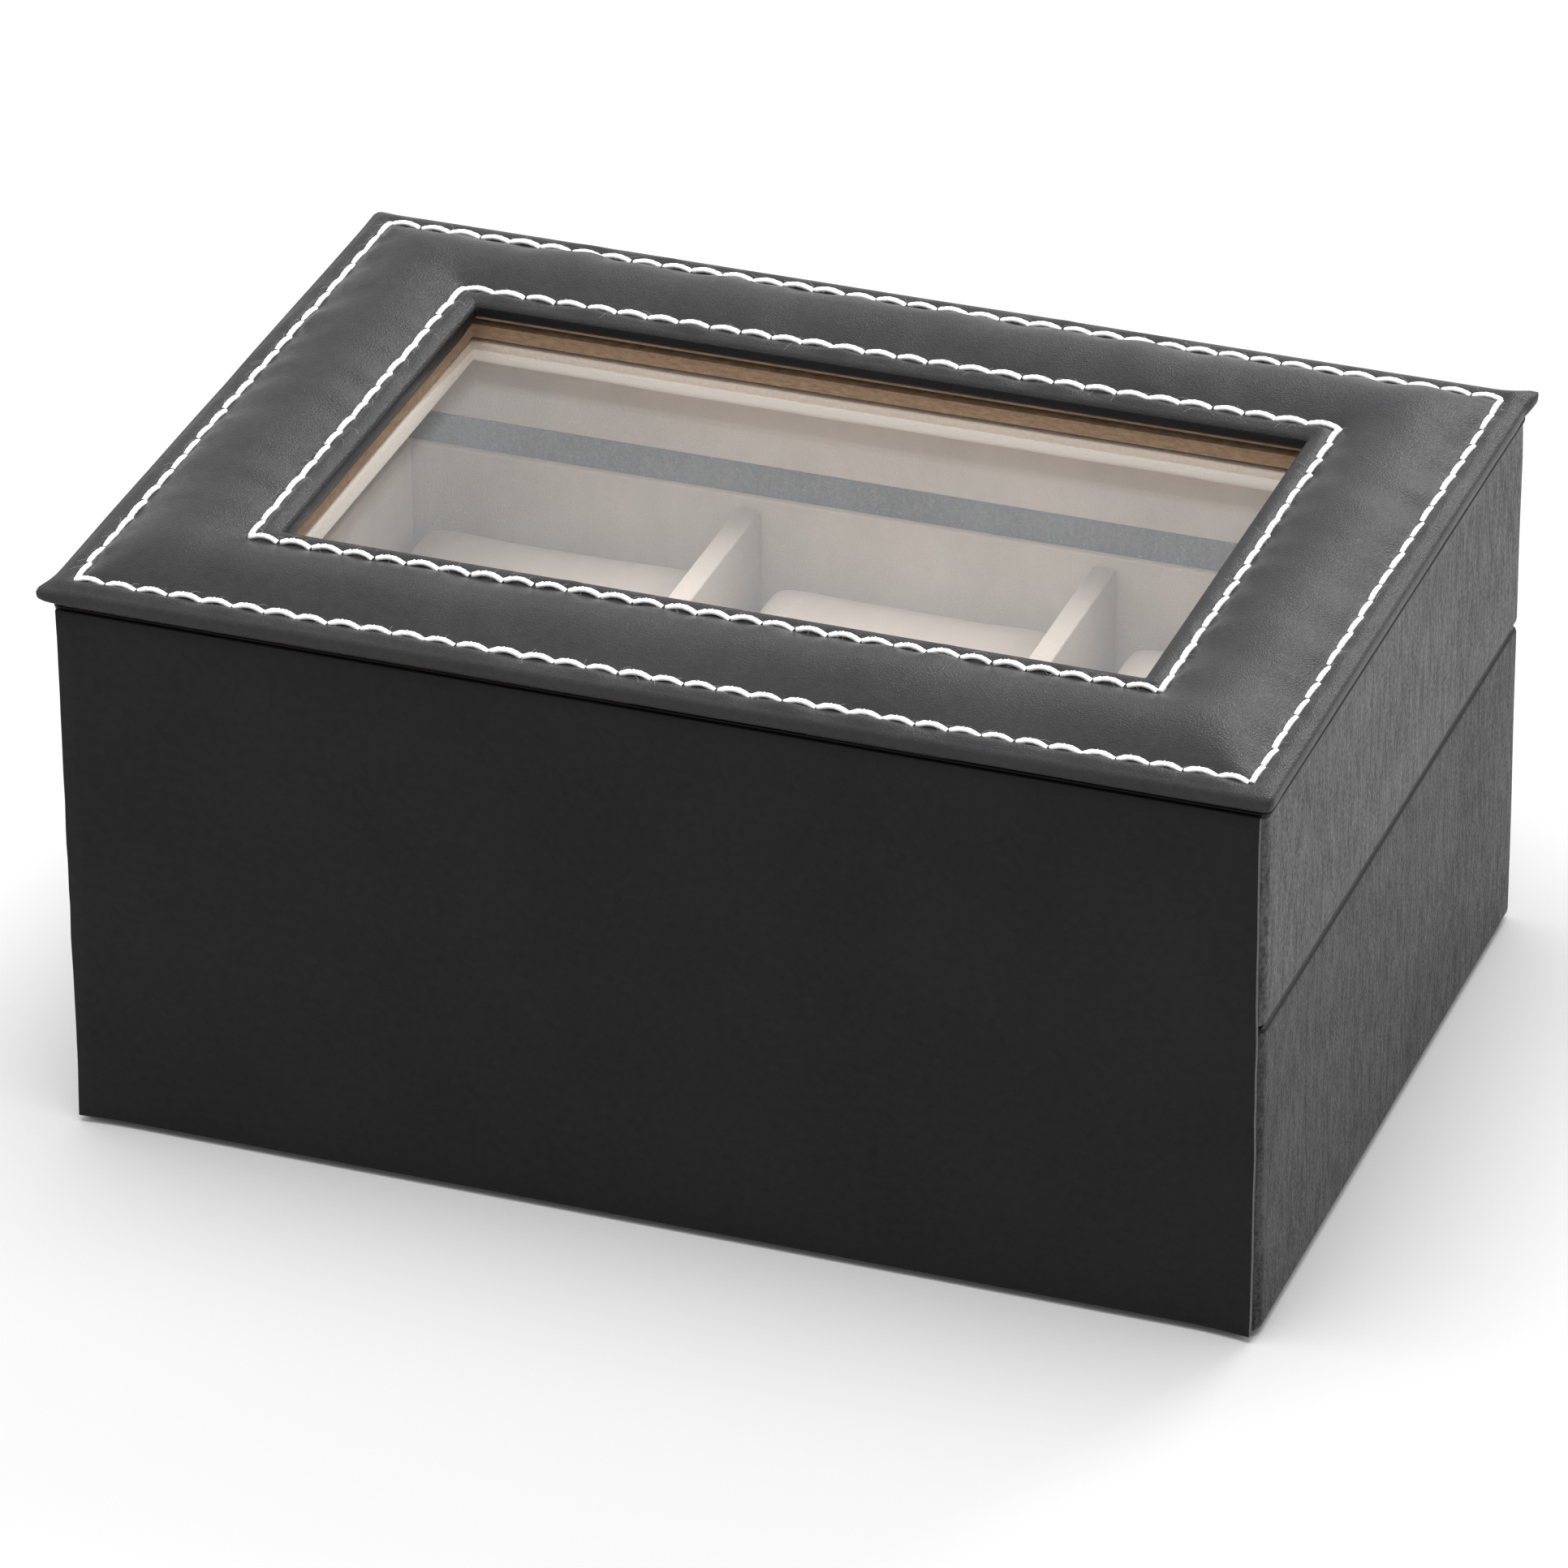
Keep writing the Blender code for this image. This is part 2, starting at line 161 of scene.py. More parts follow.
class Graph:
    """A node tree that is written as expressions.

    Args:
        tree: the shader or geometry tree.
    """

    def __init__(self, tree: bpy.types.NodeTree) -> None:
        """Keep the tree."""
        self.tree = tree

    def node(self, kind: str, settings: dict | None = None,
             sockets: dict | None = None) -> bpy.types.Node:
        """Add a node.

        Args:
            kind: the node's type.
            settings: properties, which are set first.
            sockets: inputs by name or number, as values or wires.

        Returns:
            The node.
        """
        made = self.tree.nodes.new(kind)
        for key, value in (settings or {}).items():
            setattr(made, key, value)
        for key, value in (sockets or {}).items():
            if isinstance(value, Wire):
                self.tree.links.new(value.socket, made.inputs[key])
            else:
                made.inputs[key].default_value = value
        return made

    def out(self, kind: str, settings: dict | None = None, sockets: dict | None = None,
            output: int | str = 0) -> Wire:
        """Add a node and take one of its outputs."""
        return Wire(self, self.node(kind, settings, sockets).outputs[output])


class Paint(Graph):
    """The graph of one material, with the textures that its finishes are made of.

    Args:
        name: the material's name.
    """

    def __init__(self, name: str) -> None:
        """Start an empty material with a Principled shader.

        Args:
            name: the material's name.
        """
        self.material = bpy.data.materials.new(name)
        self.material.use_nodes = True
        super().__init__(self.material.node_tree)
        self.shader = self.tree.nodes["Principled BSDF"]
        self.place = self.out("ShaderNodeTexCoord", output="Object")

    def stretched(self, scale: Sequence[float]) -> Wire:
        """Object coordinates, multiplied axis by axis."""
        return self.out("ShaderNodeMapping", {}, {"Vector": self.place, "Scale": scale})

    def noise(self, scale: float, detail: float = 3.0, rough: float = 0.5,
              place: Wire | None = None) -> Wire:
        """Cloudy noise, from 0 to 1."""
        return self.out("ShaderNodeTexNoise", {}, {
            "Vector": place or self.place, "Scale": scale, "Detail": detail, "Roughness": rough})

    def pebbles(self, scale: float) -> Wire:
        """Distance from the middle of the nearest pebble of grain."""
        return self.out("ShaderNodeTexVoronoi", {"feature": "SMOOTH_F1"}, {
            "Vector": self.place, "Scale": scale, "Smoothness": 0.6})

    def spread(self, value: Wire, low: float, high: float,
               to_low: float = 0.0, to_high: float = 1.0) -> Wire:
        """A value, from one range to another, held at its ends."""
        return self.out("ShaderNodeMapRange", {"clamp": True}, {
            "Value": value, "From Min": low, "From Max": high, "To Min": to_low, "To Max": to_high})

    def mix(self, share: Wire, first: Sequence[float], second: Sequence[float]) -> Wire:
        """A colour between two colours."""
        return self.out("ShaderNodeMix", {"data_type": "RGBA"}, {
            0: share, 6: (*first, 1.0), 7: (*second, 1.0)}, output=2)

    def bump(self, height: Wire, distance: float, strength: float = 1.0,
             under: Wire | None = None) -> Wire:
        """A surface raised by a height.

        Args:
            height: the height, from 0 to 1.
            distance: what a height of 1 stands for, in metres.
            strength: how much of it shows.
            under: the bump that it lies on, if there is one.

        Returns:
            The normal.
        """
        sockets = {"Height": height, "Distance": distance, "Strength": strength}
        if under is not None:
            sockets["Normal"] = under
        return self.out("ShaderNodeBump", {}, sockets)

    def finish(self, **sockets: "Wire | Number | tuple") -> bpy.types.Material:
        """Set the shader's sockets, whose names have _ for a space.

        Args:
            sockets: values or wires.

        Returns:
            The material.
        """
        for key, value in sockets.items():
            socket = self.shader.inputs[key.replace("_", " ")]
            if isinstance(value, Wire):
                self.tree.links.new(value.socket, socket)
            else:
                socket.default_value = value
        return self.material


def shade(colour: Sequence[float], by: float) -> tuple[float, ...]:
    """A colour made darker or lighter."""
    return tuple(channel * by for channel in colour)


# ---------------------------------------------------------------------------- finishes
class Grain(Enum):
    """The kinds of embossing on the leatherettes."""

    PEBBLED = "pebbled"
    STREAKED = "streaked"
    SMOOTH = "smooth"


@dataclass(frozen=True)
class Leatherette:
    """Coated fabric with an embossed grain.

    Args:
        name: the material's name.
        colour: the coating's colour.
        roughness: how matte it is.
        grain: which embossing it has.
        grain_size: distance between the grain's pebbles or streaks.
        grain_depth: height of the grain.
        mottling: how far broad patches differ in colour, as a share.
        shine: how much its coating reflects.
    """

    name: str
    colour: tuple[float, float, float]
    roughness: float
    grain: Grain
    grain_size: float
    grain_depth: float
    mottling: float = 0.2
    shine: float = 0.4

    def build(self) -> bpy.types.Material:
        """Make the material.

        Returns:
            The material.
        """
        paint = Paint(self.name)
        fine = 1.0 / self.grain_size
        patches = paint.noise(42.0, 4.0, 0.6)
        if self.grain is Grain.STREAKED:
            along = paint.stretched((1.0, 1.0, 0.24))
            relief = 0.55 * paint.noise(fine, 4.0, 0.75, along) + 0.45 * paint.noise(fine * 2.6, 2.0, 0.6)
            tone = paint.spread(relief, 0.40, 0.62)
        elif self.grain is Grain.PEBBLED:
            relief = paint.pebbles(fine) + 0.7 * paint.noise(fine * 1.7, 2.0, 0.8)
            tone = paint.spread(paint.noise(fine * 0.22, 3.0, 0.7), 0.35, 0.7)
        else:
            relief = 0.7 * paint.noise(fine, 4.0, 0.65) + 0.3 * paint.noise(fine * 0.12, 2.0)
            tone = paint.spread(paint.noise(fine * 0.3, 3.0), 0.3, 0.7)
        broad = 0.25 if self.grain is Grain.STREAKED else 0.5
        share = paint.spread(patches, 0.3, 0.72) * broad + tone * (1.0 - broad)
        base = paint.mix(share, shade(self.colour, 1.0 - self.mottling),
                         shade(self.colour, 1.0 + self.mottling))
        rough = paint.spread(share, 0.0, 1.0, self.roughness + 0.06, self.roughness - 0.06)
        normal = paint.bump(relief, self.grain_depth)
        return paint.finish(Base_Color=base, Roughness=rough, Normal=normal,
                            Specular_IOR_Level=self.shine)


@dataclass(frozen=True)
class Velvet:
    """Short-pile flock, whose nap lies in soft brushed patches.

    Args:
        name: the material's name.
        colour: the pile's colour.
        brushed: how far the brushed patches differ, as a share.
    """

    name: str
    colour: tuple[float, float, float]
    brushed: float = 0.13

    def build(self) -> bpy.types.Material:
        """Make the material.

        Returns:
            The material.
        """
        paint = Paint(self.name)
        nap = paint.noise(70.0, 3.0, 0.65, paint.stretched((1.0, 0.7, 0.45)))
        pile = paint.noise(2600.0, 2.0, 0.8)
        share = paint.spread(nap, 0.3, 0.7) * 0.75 + pile * 0.25
        base = paint.mix(share, shade(self.colour, 1.0 - self.brushed),
                         shade(self.colour, 1.0 + self.brushed))
        normal = paint.bump(pile, 0.00012, 0.6, paint.bump(nap, 0.0003, 0.4))
        return paint.finish(Base_Color=base, Roughness=0.95, Normal=normal, Sheen_Weight=0.35,
                            Sheen_Roughness=0.45, Sheen_Tint=(1.0, 0.95, 0.88, 1.0),
                            Specular_IOR_Level=0.15)


@dataclass(frozen=True)
class HalfCoveredBoard:
    """Velvet that stops short of the pane, so that the raw board shows above it.

    Args:
        velvet: the velvet.
        board: the raw board.
        bare_above: height above which the farthest edge is bare.
        far: where that edge is.
        fade: rise of the bare part's lower end along the sides, per unit of length.
    """

    velvet: Velvet
    board: "PressedBoard"
    bare_above: float
    far: float
    fade: float = 0.05

    def build(self) -> bpy.types.Material:
        """Make the material.

        Returns:
            The material.
        """
        paint = Paint(self.velvet.name)
        spot = paint.node("ShaderNodeSeparateXYZ", {}, {"Vector": paint.place})
        y, z = Wire(paint, spot.outputs["Y"]), Wire(paint, spot.outputs["Z"])
        ragged = paint.noise(900.0, 3.0, 0.7) * 0.0004
        level = z - (self.far - y) * self.fade + ragged - 0.0002
        bare = paint.spread(level, self.bare_above - 0.00012, self.bare_above + 0.00012)
        fibres = paint.noise(1.0 / self.board.fleck, 4.0, 0.7)
        pile = paint.mix(fibres, shade(self.velvet.colour, 0.94), self.velvet.colour)
        raw = paint.mix(fibres, shade(self.board.colour, 0.75), shade(self.board.colour, 1.25))
        base = paint.out("ShaderNodeMix", {"data_type": "RGBA"}, {0: bare, 6: pile, 7: raw}, output=2)
        return paint.finish(Base_Color=base, Roughness=0.93, Normal=paint.bump(fibres, 0.0002),
                            Specular_IOR_Level=0.15)


@dataclass(frozen=True)
class PressedBoard:
    """Raw fibreboard or card: matted fibres in a dull colour.

    Args:
        name: the material's name.
        colour: its colour.
        fleck: width of its fibres.
    """

    name: str
    colour: tuple[float, float, float]
    fleck: float = 0.0006

    def build(self) -> bpy.types.Material:
        """Make the material.

        Returns:
            The material.
        """
        paint = Paint(self.name)
        fibres = paint.noise(1.0 / self.fleck, 5.0, 0.7, paint.stretched((0.35, 0.35, 1.0)))
        share = paint.spread(fibres, 0.3, 0.7)
        base = paint.mix(share, shade(self.colour, 0.7), shade(self.colour, 1.3))
        return paint.finish(Base_Color=base, Roughness=0.85, Normal=paint.bump(fibres, 0.00015),
                            Specular_IOR_Level=0.2)


@dataclass(frozen=True)
class SpunThread:
    """Thick bright sewing thread.

    Args:
        name: the material's name.
        colour: its colour.
    """

    name: str
    colour: tuple[float, float, float]

    def build(self) -> bpy.types.Material:
        """Make the material.

        Returns:
            The material.
        """
        paint = Paint(self.name)
        fuzz = paint.noise(5200.0, 2.0, 0.7)
        base = paint.mix(paint.spread(fuzz, 0.25, 0.6), shade(self.colour, 0.8), self.colour)
        return paint.finish(Base_Color=base, Roughness=0.75, Normal=paint.bump(fuzz, 0.00008),
                            Sheen_Weight=0.3, Sheen_Roughness=0.5)


@dataclass(frozen=True)
class Flock:
    """A dull sheet of felt or foam.

    Args:
        name: the material's name.
        colour: its colour.
        size: width of its clumps or cells.
    """

    name: str
    colour: tuple[float, float, float]
    size: float = 0.0005

    def build(self) -> bpy.types.Material:
        """Make the material.

        Returns:
            The material.
        """
        paint = Paint(self.name)
        clumps = paint.noise(1.0 / self.size, 4.0, 0.8)
        base = paint.mix(paint.spread(clumps, 0.3, 0.7), shade(self.colour, 0.7),
                         shade(self.colour, 1.35))
        return paint.finish(Base_Color=base, Roughness=0.97, Normal=paint.bump(clumps, 0.0002),
                            Specular_IOR_Level=0.1)


@dataclass(frozen=True)
class HazyPane:
    """Clear sheet glass with a mirror-like film of haze and a little dust.

    Args:
        name: the material's name.
        film: share of the light that the film on each face turns back.
        dust: extra share where dust lies.
        gloss: how much of that is a reflection, where the rest is scattered.
    """

    name: str
    film: float
    dust: float
    gloss: float

    def build(self) -> bpy.types.Material:
        """Make the material.

        Returns:
            The material.
        """
        paint = Paint(self.name)
        smear = paint.noise(26.0, 3.0, 0.6, paint.stretched((1.0, 0.4, 1.0)))
        specks = paint.spread(paint.noise(2300.0, 1.0, 0.4), 0.68, 0.76)
        film = paint.spread(smear, 0.3, 0.75, self.film * 0.88, self.film * 1.12)
        rough = paint.spread(smear, 0.3, 0.75, 0.03, 0.10)
        return paint.finish(Base_Color=(0.93, 0.95, 0.97, 1.0), Metallic=self.gloss, Roughness=rough,
                            Alpha=film + self.dust * specks)


class Finishes:
    """Every finish of the box, made once and shared."""

    def __init__(self) -> None:
        """Build the materials."""
        frame_skin = Leatherette("frame_leatherette", (0.023, 0.023, 0.024), roughness=0.36,
                                 grain=Grain.PEBBLED, grain_size=0.00030, grain_depth=0.00009,
                                 mottling=0.22, shine=0.20)
        # A darker copy of the frame's skin, for painted shade: it goes where faces lie in shade, on the
        # window's inner edge, in the crease under the frame and along the seam between lid and base.
        painted_shade_skin = Leatherette("window_edge_leatherette", (0.007, 0.007, 0.008), roughness=0.45,
                                  grain=Grain.SMOOTH, grain_size=0.00030, grain_depth=0.00004,
                                  mottling=0.20, shine=0.20)
        # The lid's side is coloured lighter than the base's side: painted light, for the brighter light
        # that falls on the lid's wall.
        side_base = Leatherette("base_side_leatherette", (0.036, 0.036, 0.037), roughness=0.52,
                                grain=Grain.STREAKED, grain_size=0.00150, grain_depth=0.00050,
                                mottling=0.85, shine=0.26)
        side_lid = Leatherette("lid_side_leatherette", (0.062, 0.062, 0.063), roughness=0.50,
                               grain=Grain.STREAKED, grain_size=0.00200, grain_depth=0.00045,
                               mottling=0.80, shine=0.26)
        back = Leatherette("hinge_leatherette", (0.0092, 0.0092, 0.0095), roughness=0.60,
                           grain=Grain.SMOOTH, grain_size=0.00045, grain_depth=0.00003,
                           mottling=0.18, shine=0.15)
        self.painted_shade_skin = painted_shade_skin.build()
        self.frame_skin = frame_skin.build()
        self.side_base = side_base.build()
        self.side_lid = side_lid.build()
        self.hinge_skin = back.build()
        self.raw_edge = Flock("leatherette_backing", (0.13, 0.13, 0.13)).build()
        self.lining = Velvet("lining_velvet", (0.71, 0.63, 0.55)).build()
        self.pillow = Velvet("pillow_velvet", (0.49, 0.43, 0.375), 0.08).build()
        raw_board = PressedBoard("fibreboard", (0.34, 0.235, 0.155))
        self.board = raw_board.build()
        opening = Extent.of("pane_retainer")
        cream = Velvet("retainer_velvet", (0.93, 0.88, 0.80), 0.05)
        pale_board = PressedBoard("retainer_board", (0.68, 0.57, 0.47))
        self.retainer = HalfCoveredBoard(cream, pale_board, opening.high.z - 0.1 * MM,
                                         Extent.of("window_pane").high.y).build()
        self.card = PressedBoard("greyboard", (0.33, 0.24, 0.165), 0.0009).build()
        self.foam = Flock("foam", (0.70, 0.68, 0.60), 0.0009).build()
        self.felt = Flock("felt", (0.017, 0.017, 0.018)).build()
        self.thread = SpunThread("thread", (0.95, 0.95, 0.94)).build()
        self.lint = SpunThread("thread_lint", (0.50, 0.50, 0.50)).build()
        self.glass = HazyPane("hazy_glass", film=0.088, dust=0.12, gloss=0.6).build()


# -------------------------------------------------------------------------- mesh tools
def new_object(name: str, mesh: bpy.types.Mesh, *materials: bpy.types.Material) -> bpy.types.Object:
    """Link a mesh to the scene as an object with smooth shading.

    Args:
        name: the object's name.
        mesh: its mesh, in place.
        materials: its materials, in slot order.

    Returns:
        The object.
    """
    made = bpy.data.objects.new(name, mesh)
    bpy.context.scene.collection.objects.link(made)
    for material in materials:
        mesh.materials.append(material)
    mesh.shade_smooth()
    return made


def mesh_of(name: str, points: Iterable[Sequence[float]],
            faces: Iterable[Sequence[int]]) -> bpy.types.Mesh:
    """A mesh from points and faces.

    Args:
        name: its name.
        points: its points.
        faces: the points of each face, anticlockwise from outside.

    Returns:
        The mesh.
    """
    mesh = bpy.data.meshes.new(name)
    mesh.from_pydata([tuple(p) for p in points], [], [tuple(f) for f in faces])
    mesh.validate()
    return mesh


def evaluated(thing: bpy.types.Object) -> bpy.types.Mesh:
    """The mesh of an object with its modifiers applied."""
    graph = bpy.context.evaluated_depsgraph_get()
    return bpy.data.meshes.new_from_object(thing.evaluated_get(graph))


def freeze(thing: bpy.types.Object) -> None:
    """Apply all of an object's modifiers to its mesh.

    Args:
        thing: the object.
    """
    mesh = evaluated(thing)
    thing.modifiers.clear()
    thing.data = mesh


def joined(name: str, pieces: Sequence[bpy.types.Object]) -> bpy.types.Object:
    """Several pieces as one.

    Args:
        name: the whole's name.
        pieces: the pieces, which are removed.

    Returns:
        The whole.
    """
    shape = bmesh.new()
    for piece in pieces:
        shape.from_mesh(piece.data)
    mesh = bpy.data.meshes.new(name)
    shape.to_mesh(mesh)
    shape.free()
    made = new_object(name, mesh, *pieces[0].data.materials)
    for piece in pieces:
        bpy.data.objects.remove(piece)
    return made


def cut_long_faces(thing: bpy.types.Object, longest: float = 6 * MM) -> None:
    """Cut an object's long edges so that its surface can be bent.

    Args:
        thing: the object.
        longest: about how long an edge may stay.
    """
    shape = bmesh.new()
    shape.from_mesh(thing.data)
    for axis in range(3):
        spots = [v.co[axis] for v in shape.verts]
        low, high = min(spots), max(spots)
        count = round((high - low) / longest)
        for k in range(1, count):
            place, normal = Vector((0, 0, 0)), Vector((0, 0, 0))
            place[axis] = low + (high - low) * k / count
            normal[axis] = 1.0
            bmesh.ops.bisect_plane(shape, geom=[*shape.verts, *shape.edges, *shape.faces],
                                   plane_co=place, plane_no=normal)
    shape.to_mesh(thing.data)
    shape.free()


def positions(mesh: bpy.types.Mesh) -> np.ndarray:
    """The places of a mesh's points.

    Args:
        mesh: the mesh.

    Returns:
        One row of x, y and z for each point.
    """
    flat = np.zeros(len(mesh.vertices) * 3)
    mesh.vertices.foreach_get("co", flat)
    return flat.reshape(-1, 3)


def set_positions(mesh: bpy.types.Mesh, places: np.ndarray) -> None:
    """Move a mesh's points."""
    mesh.vertices.foreach_set("co", places.astype(np.float32).ravel())
    mesh.update()


def grow_subdivision(thing: bpy.types.Object, levels: int) -> None:
    """Finish a piece with a Subdivision Surface.

    Args:
        thing: the piece.
        levels: how many times it is divided, in every view.
    """
    step = thing.modifiers.new("smooth", "SUBSURF")
    step.levels = levels
    step.render_levels = levels


def give_thickness(thing: bpy.types.Object, thickness: float, rim_slot: int = 0) -> None:
    """Give a sheet its thickness, on the side away from its normals.

    Args:
        thing: the sheet.
        thickness: how thick it gets.
        rim_slot: which material its cut edges have, counted from the sheet's own.
    """
    step = thing.modifiers.new("thickness", "SOLIDIFY")
    step.thickness = thickness
    step.offset = -1.0
    step.material_offset_rim = rim_slot


def ripple(mesh: bpy.types.Mesh, height: float, size: float, seed: float,
           direction: Callable[[Vector], Vector], where: Callable[[Vector], float] | None = None) -> None:
    """Push a mesh's points along a direction by smooth noise.

    Args:
        mesh: the mesh to change.
        height: the largest push.
        size: width of a ripple.
        seed: which ripples.
        direction: the way that a point is pushed.
        where: share of the push that a point gets, all of it if left out.
    """
    shift = Vector((seed * 7.31, seed * 3.17, seed * 5.77))
    for vertex in mesh.vertices:
        share = 1.0 if where is None else where(vertex.co)
        if share > 0.0:
            push = noise.noise(vertex.co / size + shift) * height * share
            vertex.co += direction(vertex.co) * push
    mesh.update()


def softened(node: str, name: str, radius: float, material: bpy.types.Material,
             segments: int = 3) -> bpy.types.Object:
    """A copy of a node with rounded edges, which stands for it.

    Args:
        node: the node of the frame.
        name: the new piece's name.
        radius: radius of its edges.
        material: its finish.
        segments: faces across each rounded edge.

    Returns:
        The piece, riding on the node's body.
    """
    source = frame["nodes"][node]
    shape = bmesh.new()
    shape.from_mesh(source.data)
    bmesh.ops.remove_doubles(shape, verts=shape.verts, dist=1e-6)
    bmesh.ops.dissolve_limit(shape, angle_limit=math.radians(1.0), verts=shape.verts,
                             edges=shape.edges)
    mesh = bpy.data.meshes.new(name)
    shape.to_mesh(mesh)
    shape.free()
    made = new_object(name, mesh, material)
    step = made.modifiers.new("soft_edges", "BEVEL")
    step.width = radius
    step.segments = segments
    step.limit_method = "ANGLE"
    step.harden_normals = True
    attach(made, source["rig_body"])
    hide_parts(node)
    return made


def rounded_loop(low: tuple[float, float], high: tuple[float, float], radius: float,
                 cells: tuple[int, int], corner_steps: int = 5) -> Loop:
    """An outline of a rectangle with round corners, anticlockwise from its right side's top.

    Args:
        low: its lowest x and y.
        high: its highest x and y.
        radius: radius of its corners.
        cells: how many stretches the sides along x and along y have.
        corner_steps: stretches in each corner.

    Returns:
        The points.
    """
    corners = ((high[0], high[1]), (low[0], high[1]), (low[0], low[1]), (high[0], low[1]))
    middles = [(x - math.copysign(radius, x - low[0] - 1e-9),
                y - math.copysign(radius, y - low[1] - 1e-9)) for x, y in corners]
    points: Loop = []
    for quarter, (x, y) in enumerate(middles):
        for step in range(corner_steps + 1):
            angle = math.radians(90.0) * (quarter + step / corner_steps)
            points.append((x + radius * math.cos(angle), y + radius * math.sin(angle)))
        start, after = points[-1], middles[(quarter + 1) % 4]
        angle = math.radians(90.0) * (quarter + 1)
        end = (after[0] + radius * math.cos(angle), after[1] + radius * math.sin(angle))
        count = cells[quarter % 2]
        points += [(start[0] + (end[0] - start[0]) * step / count,
                    start[1] + (end[1] - start[1]) * step / count) for step in range(1, count)]
    return points


def profile(*stretches: tuple) -> list[tuple[float, float]]:
    """Points of a section, from straight stretches and round corners.

    Args:
        stretches: ("from", depth, z) for the start, then ("to", depth, z, step) for a straight
            line with a point every step, or ("round", depth, z, corner_depth, corner_z) for a
            quarter turn to (depth, z) inside a square corner.

    Returns:
        The points, as (depth, z).
    """
    points = [stretches[0][1:3]]
    for kind, depth, z, *rest in stretches[1:]:
        from_depth, from_z = points[-1]
        if kind == "to":
            count = max(1, round(math.hypot(depth - from_depth, z - from_z) / rest[0]))
            points += [(from_depth + (depth - from_depth) * k / count,
                        from_z + (z - from_z) * k / count) for k in range(1, count + 1)]
        else:
            corner_depth, corner_z = rest
            for k in range(1, 5):
                t = math.radians(90.0) * k / 4
                leaving, coming = 1 - math.sin(t), 1 - math.cos(t)
                points.append((corner_depth + (from_depth - corner_depth) * leaving
                               + (depth - corner_depth) * coming,
                               corner_z + (from_z - corner_z) * leaving + (z - corner_z) * coming))
    return points


def grid(name: str, xs: Sequence[float], zs: Sequence[float],
         place: Callable[[float, float], tuple[float, float, float]], to_back: bool) -> bpy.types.Mesh:
    """An upright sheet of square cells.

    Args:
        name: the mesh's name.
        xs: where its columns are.
        zs: where its rows are.
        place: where the point of a column and a row lies.
        to_back: whether it faces towards -Y.

    Returns:
        The mesh.
    """
    wide, faces = len(xs), []
    for j in range(len(zs) - 1):
        for i in range(wide - 1):
            a = j * wide + i
            faces.append((a, a + 1, a + wide + 1, a + wide) if to_back else
                         (a, a + wide, a + wide + 1, a + 1))
    return mesh_of(name, [place(x, z) for z in zs for x in xs], faces)


def swept(name: str, section: Sequence[tuple[float, float]],
          outline: Callable[[float], Loop]) -> bpy.types.Mesh:
    """A skin that follows a closed outline, with the same section all round.

    Args:
        name: the mesh's name.
        section: points of the section, as (depth inside the outline, z).
        outline: the loop at a depth.

    Returns:
        The mesh.
    """
    points, faces = [], []
    for depth, z in section:
        points += [(x, y, z) for x, y in outline(depth)]
    around = len(points) // len(section)
    for ring in range(len(section) - 1):
        for step in range(around):
            a, b = ring * around + step, ring * around + (step + 1) % around
            faces.append((a, a + around, b + around, b))
    return mesh_of(name, points, faces)


# ----------------------------------------------------------------------- cloth puffing
@dataclass(frozen=True)
class Puff:
    """A short cloth simulation that fills a cover with air.

    The mesh is simulated larger than life, where the solver's units suit it, and is brought
    back to size.

    Args:
        pressure: how hard the cover is filled.
        frames: how many frames it takes to settle.
        magnify: how much larger it is simulated.
        slack: how much wider than its frame the cloth is cut, as a share.
        bending: how stiffly the cloth bends.
        reach: furthest that a point may move, in real size.
    """

    pressure: float = 4.0
    frames: int = 20
    magnify: float = 10.0
    slack: float = 0.02
    bending: float = 0.5
    reach: float = 0.006

    def run(self, mesh: bpy.types.Mesh, held: np.ndarray | None = None) -> np.ndarray:
        """Simulate a copy of the mesh.

        Args:
            mesh: the cover at rest. It isn't changed.
            held: one share per point, 1 where the point is held still.

        Returns:
            The settled places of the points.
        """
        start = positions(mesh)
        copy = mesh.copy()
        set_positions(copy, start * self.magnify)
        doll = bpy.data.objects.new("cloth_doll", copy)
        bpy.context.scene.collection.objects.link(doll)
        cloth = doll.modifiers.new("cloth", "CLOTH")
        told = cloth.settings
        told.quality = 6
        told.mass = 0.3
        told.air_damping = 2.0
        told.tension_stiffness = told.compression_stiffness = 15.0
        told.shear_stiffness = 8.0
        told.bending_stiffness = self.bending
        told.use_pressure = True
        told.uniform_pressure_force = self.pressure
        told.shrink_min = -self.slack
        told.effector_weights.gravity = 0.0
        cloth.point_cache.frame_start = 1
        cloth.point_cache.frame_end = self.frames
        if held is not None:
            group = doll.vertex_groups.new(name="held")
            for index, share in enumerate(held):
                if share > 0.0:
                    group.add([index], float(share), "REPLACE")
            told.vertex_group_mass = "held"
            told.pin_stiffness = 5.0
        scene = bpy.context.scene
        for step in range(1, self.frames + 1):
            scene.frame_set(step)
        settled = positions(evaluated(doll)) / self.magnify
        scene.frame_set(1)
        bpy.data.objects.remove(doll)
        moved = settled - start
        far = np.linalg.norm(moved, axis=1)
        return start + moved * np.minimum(1.0, self.reach / np.maximum(far, 1e-9))[:, None]


